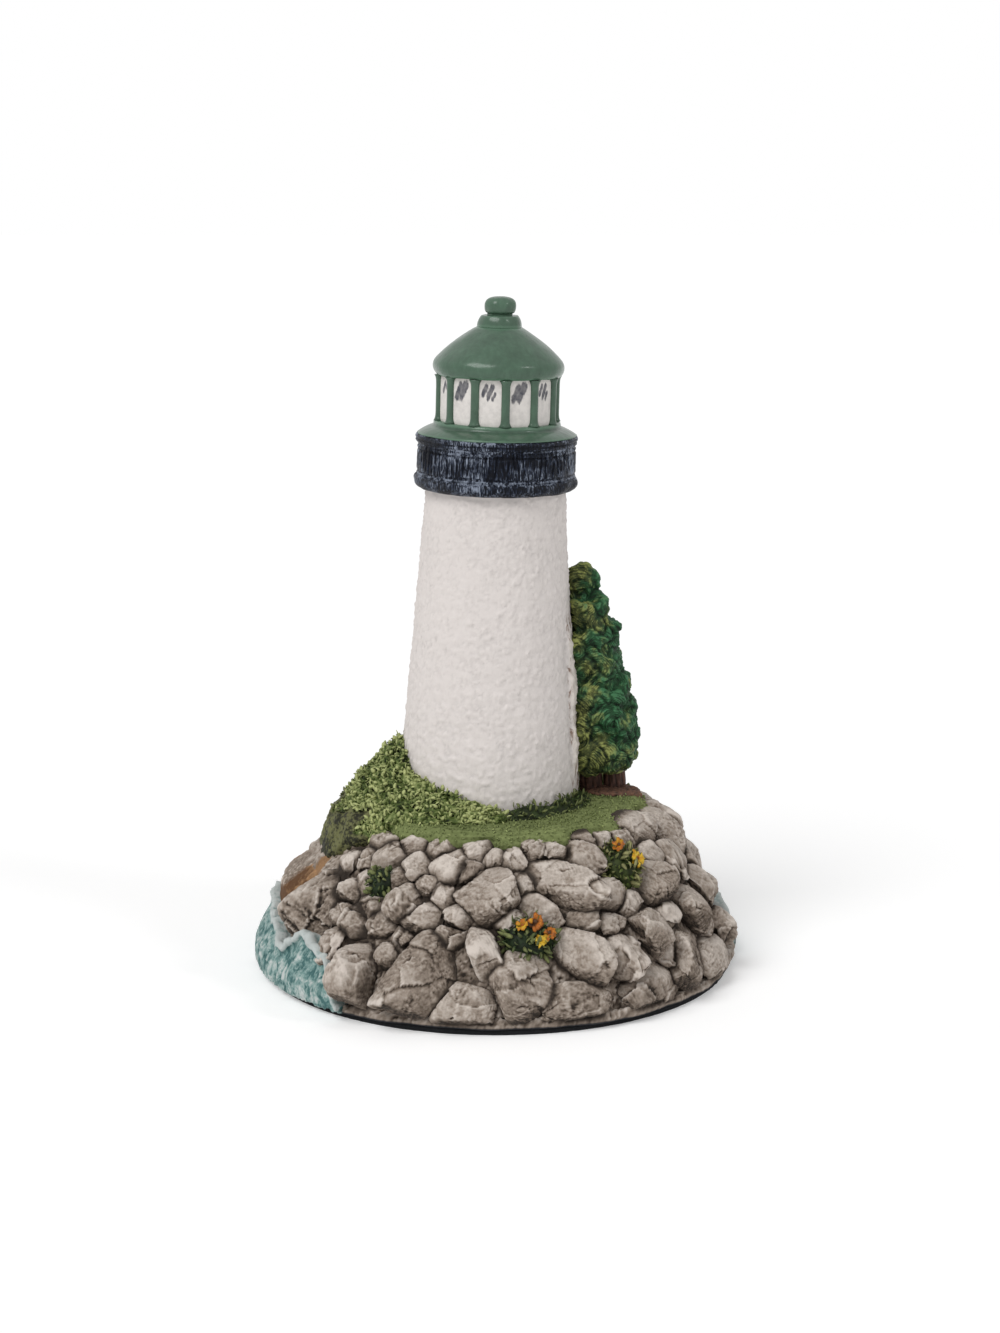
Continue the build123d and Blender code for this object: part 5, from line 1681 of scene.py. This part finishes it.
class FIGURINE_OT_gallery(bpy.types.Operator):
    """Turns the ledge, the scribed parapet and the rail of the gallery"""

    bl_idname = "figurine.gallery"
    bl_label = "Gallery"

    def execute(self, context):
        look = context.scene.figurine_tower
        paint, relief = gallery_paint(look), grain_relief()
        under = arc((12.3, TOWER_HEIGHT), (14.6, TOWER_HEIGHT + 1.2), (14.1, PARAPET_FOOT), 16)
        ledge = [(0, TOWER_HEIGHT), (12.0, TOWER_HEIGHT), *under, (0, PARAPET_FOOT)]
        parapet = [(0, PARAPET_FOOT), (GALLERY_RADIUS, PARAPET_FOOT), (GALLERY_RADIUS, RAIL_FOOT),
                   (0, RAIL_FOOT)]
        edge = arc((14.1, RAIL_FOOT), (14.4, RAIL_FOOT + 0.75), (14.1, DECK_FOOT), 8)
        rail = [(0, RAIL_FOOT), (GALLERY_RADIUS, RAIL_FOOT), *edge, (0, DECK_FOOT)]
        self.scribes = self.draw_scribes(look.scribe / MM)
        for node, outline, change, dry in (("gallery_ledge", ledge, self.dents, 0.2),
                                           ("gallery_parapet", parapet, self.scribed, 1.0),
                                           ("gallery_rail", rail, self.lined, 0.3)):
            piece = tower_piece(node + "_scribed", outline, 0.24, 640, change, dry=dry)
            dress(piece, relief, paint, "gallery_navy", node, Grain=0.09 * MM, Swell=0.3 * MM)
        return {"FINISHED"}

    def draw_scribes(self, deepest):
        """Azimuth, slant, depth and how far each scribed line stays from the parapet's foot and top."""
        dice = random.Random(31)
        lines = []
        for number in range(SCRIBES):
            angle = FULL_TURN * (number + dice.uniform(-0.3, 0.3)) / SCRIBES
            lines.append((angle, dice.uniform(-0.012, 0.012), deepest * dice.uniform(0.35, 1.0),
                          dice.uniform(0.0, 1.6), dice.uniform(0.0, 0.9)))
        return lines

    def dents(self, angle, height):
        """Unevenness of the ledge."""
        return 0.10 * np.sin(7 * angle + 1.1 * height) + 0.07 * np.sin(19 * angle - 2.0 * height) - 0.15

    def scribed(self, angle, height):
        """The parapet with its lines, up and down and round."""
        made = np.zeros_like(angle)
        rise = height - PARAPET_FOOT
        for place, slant, deep, foot, head in self.scribes:
            off = (angle - place - slant * (rise - 2.8) + math.pi) % FULL_TURN - math.pi
            reach = portion(rise - foot, 0.6) * portion(5.6 - head - rise, 0.6)
            made -= deep * np.exp(-(off / SCRIBE_WIDTH) ** 2) * reach
        levels = (PARAPET_FOOT + 0.5, RAIL_FOOT - 1.2, RAIL_FOOT - 0.4)
        return made - self.level_lines(angle, height, levels)

    def lined(self, angle, height):
        """The rail with the one line round it."""
        return 0.4 * self.dents(angle, height) - self.level_lines(angle, height, (RAIL_FOOT + 0.6,))

    def level_lines(self, angle, height, lines):
        """Depth of the lines that are scored round the gallery by hand."""
        return sum(0.26 * np.exp(-((height - line - 0.07 * np.sin(5 * angle + line)) / 0.18) ** 2)
                   for line in lines)


class FIGURINE_OT_lantern(bpy.types.Operator):
    """Models the lantern: its deck, its panes and the mullions between them"""

    bl_idname = "figurine.lantern"
    bl_label = "Lantern"

    def execute(self, context):
        look = context.scene.figurine_lantern
        green = lantern_paint(look)
        flare = arc((14.1, DECK_FOOT + 0.1), (12.7, DECK_FOOT + 0.92), (11.5, DECK_FOOT + 1.38), 10)
        outline = [(0, DECK_FOOT), (GALLERY_RADIUS, DECK_FOOT), *flare, (11.3, DECK_FOOT + 1.6),
                   (11.2, PANE_FOOT - 0.15), (11.0, PANE_FOOT), (0, PANE_FOOT)]
        deck = tower_piece("lantern_deck_painted", outline, 0.3, 300, hand_turned)
        dress(deck, grain_relief(), green, "lantern_green", "lantern_deck", Grain=0.05 * MM,
              Swell=0.35 * MM)
        panes = self.panes()
        panes.data.materials.append(pane_paint(look))
        place_on_frame(panes, "pane_white", "lantern_core", smooth=False)
        posts = new_object("lantern_mullions", bpy.data.meshes.new("lantern_mullions"))
        dress(posts, mullion_ring(), green, "lantern_green", *MULLION_NODES, Width=1.5 * MM, Depth=1.3 * MM,
              Height=(ROOF_FOOT - PANE_FOOT) * MM, Radius=(PANE_RADIUS - 0.1) * MM)
        return {"FINISHED"}

    def panes(self):
        """Twelve flat sides, each with its dark strokes marked on it."""
        columns, rows = 22, 36
        across, rise = np.meshgrid(np.linspace(-1, 1, columns + 1), np.linspace(0, 1, rows + 1))
        across, rise = across.ravel(), rise.ravel()
        height = PANE_FOOT - 0.2 + (ROOF_FOOT - PANE_FOOT + 0.4) * rise
        points, faces, strokes = [], [], []
        for pane in range(PANES):
            turn = FIRST_CORNER + FULL_TURN * pane / PANES
            first, second = (PANE_RADIUS * np.array([math.cos(angle), math.sin(angle)])
                             for angle in (turn, turn + FULL_TURN / PANES))
            side = first + (second - first) * ((across + 1) / 2)[:, None]
            points.append(np.column_stack([side, height]))
            strokes.append(self.strokes(across, rise, PANE_STROKES[pane % len(PANE_STROKES)]))
            for row in range(rows):
                low = (pane * (rows + 1) + row) * (columns + 1)
                high = low + columns + 1
                faces += [(low + n, low + n + 1, high + n + 1, high + n) for n in range(columns)]
        piece = modelled("lantern_panes", on_tower(np.vstack(points)), faces,
                         stroke=np.concatenate(strokes))
        close_up(piece.data)
        return piece

    def strokes(self, across, rise, lines):
        """How much of a dark stroke lies on each point of a pane."""
        dark = np.zeros_like(across)
        for x0, y0, x1, y1, width in lines:
            run = np.array([x1 - x0, PANE_RISE * (y1 - y0)])
            share = np.clip(((across - x0) * run[0] + PANE_RISE * (rise - y0) * run[1]) / (run @ run), 0, 1)
            gap = np.hypot(across - x0 - share * run[0], PANE_RISE * (rise - y0) - share * run[1])
            dark = np.maximum(dark, np.clip(1.5 - gap / width, 0, 1))
        return dark


class FIGURINE_OT_roof(bpy.types.Operator):
    """Turns the roof, its vent collar and the finial"""

    bl_idname = "figurine.roof"
    bl_label = "Roof"

    def execute(self, context):
        green, relief = bpy.data.materials["painted_lantern"], grain_relief()
        eave = arc((10.9, ROOF_FOOT), (11.6, ROOF_FOOT + 1.35), (11.02, ROOF_FOOT + 3.0), 14)
        rise = np.array(eave[-1]) - np.array(eave[-2])
        swell = np.array(eave[-1]) + 2.4 * rise / np.linalg.norm(rise)
        bell = bezier(eave[-1], swell, (6.42, VENT_FOOT - 1.344), (3.9, VENT_FOOT), count=30)
        roof = [(0, ROOF_FOOT), *eave, *bell[1:], (0, VENT_FOOT)]
        collar = arc((3.95, VENT_FOOT - 0.1), (3.75, VENT_FOOT + 1.2), (3.3, FINIAL_FOOT), 10)
        vent = [(0, VENT_FOOT - 0.1), *collar, (2.6, FINIAL_FOOT), (0, FINIAL_FOOT)]
        neck = FINIAL_FOOT + 0.4
        widest, top = (2.85, neck + 1.16), neck + 2.9
        knob = bezier((2.3, neck), (2.85, neck), widest, count=8)
        crown = bezier(widest, (2.85, neck + 2.6), (1.7, top), (0, top), count=16)
        finial = [(0, FINIAL_FOOT - 0.1), (2.3, FINIAL_FOOT - 0.1), *knob, *crown[1:]]
        for node, outline in (("roof", roof), ("roof_vent", vent), ("finial", finial)):
            piece = tower_piece(node + "_painted", outline, 0.25, 200, hand_turned)
            dress(piece, relief, green, "lantern_green", node, Grain=0.04 * MM, Swell=0.35 * MM)
        return {"FINISHED"}


class FIGURINE_OT_studio(bpy.types.Operator):
    """Sets up the floor, the light and the camera"""

    bl_idname = "figurine.studio"
    bl_label = "Studio"

    def execute(self, context):
        scene, look = context.scene, context.scene.figurine_studio
        scene.view_settings.view_transform = "Standard"
        edges = [(x * FLOOR_REACH, y * FLOOR_REACH, 0) for x, y in ((-1, -1), (1, -1), (1, 1), (-1, 1))]
        floor = modelled("studio_floor", edges, [(0, 1, 2, 3)])
        floor.data.materials.append(Paint("studio_floor").finish(
            (0.9, 0.9, 0.9), 0.9, Specular_IOR_Level=0.0,
            Emission_Color=(1.0, 1.0, 1.0), Emission_Strength=0.26))
        self.fill(scene, look)
        for name, energy, spread, way in (("key", look.sun, 35, KEY_WAY),
                                          ("kicker", look.kicker, 12, KICKER_WAY)):
            lamp = bpy.data.lights.new(name, "SUN")
            lamp.energy, lamp.angle = energy, math.radians(spread)
            light = new_object(name, lamp)
            light.rotation_euler = Vector(way).to_track_quat("-Z", "Y").to_euler()
        lens = bpy.data.cameras.new("camera")
        lens.lens, lens.shift_x = look.lens, 0.003
        lens.clip_start, lens.clip_end = 0.01, 20
        scene.camera = new_object("camera", lens)
        scene.camera.location = CAMERA_PLACE
        scene.camera.rotation_euler = (math.radians(90) - CAMERA_PITCH, 0, 0)
        return {"FINISHED"}

    def fill(self, scene, look):
        """Even light from all sides, which the camera, gloss and glass see as white."""
        scene.world = scene.world or bpy.data.worlds.new("studio")
        scene.world.use_nodes = True
        bench = Bench(scene.world.node_tree)
        bench.tree.nodes.clear()
        ray = bench.node("ShaderNodeLightPath", out="Is Camera Ray")
        seen = ray.most(ray.beside("Is Glossy Ray") * 0.8).most(ray.beside("Is Transmission Ray"))
        glow = bench.node("ShaderNodeBackground", None, {
            "Color": (1.0, 1.0, 1.0), "Strength": look.sky + seen * (1.0 - look.sky),
        })
        bench.node("ShaderNodeOutputWorld", None, {"Surface": glow})


class FIGURINE_PT_panel(bpy.types.Panel):
    """Lists the pieces of the figurine"""

    bl_idname = "FIGURINE_PT_panel"
    bl_label = "Lighthouse Figurine"
    bl_space_type = "VIEW_3D"
    bl_region_type = "UI"
    bl_category = "Figurine"

    def draw(self, context):
        for operator in OPERATORS:
            self.layout.operator(operator.bl_idname)
        for name, group in FINISHES.items():
            box = self.layout.box()
            box.label(text=group.__doc__)
            for label in group.__annotations__:
                box.prop(getattr(context.scene, name), label)


FINISHES = {
    "figurine_rock": RockFinish, "figurine_sea": SeaFinish, "figurine_plants": PlantFinish,
    "figurine_tower": TowerFinish, "figurine_lantern": LanternFinish, "figurine_felt": FeltFinish,
    "figurine_studio": StudioSettings,
}
OPERATORS = (
    FIGURINE_OT_studio, FIGURINE_OT_felt, FIGURINE_OT_mound, FIGURINE_OT_boulders, FIGURINE_OT_sea,
    FIGURINE_OT_planting, FIGURINE_OT_tree, FIGURINE_OT_flowers, FIGURINE_OT_tower, FIGURINE_OT_gallery,
    FIGURINE_OT_lantern, FIGURINE_OT_roof,
)


def register():
    for kind in (*FINISHES.values(), *OPERATORS, FIGURINE_PT_panel):
        bpy.utils.register_class(kind)
    for name, group in FINISHES.items():
        setattr(bpy.types.Scene, name, PointerProperty(type=group))


def unregister():
    for name in FINISHES:
        delattr(bpy.types.Scene, name)
    for kind in reversed((*FINISHES.values(), *OPERATORS, FIGURINE_PT_panel)):
        bpy.utils.unregister_class(kind)


def main():
    register()
    for operator in OPERATORS:
        group, name = operator.bl_idname.split(".")
        getattr(getattr(bpy.ops, group), name)()


if __name__ == "__main__":
    main()
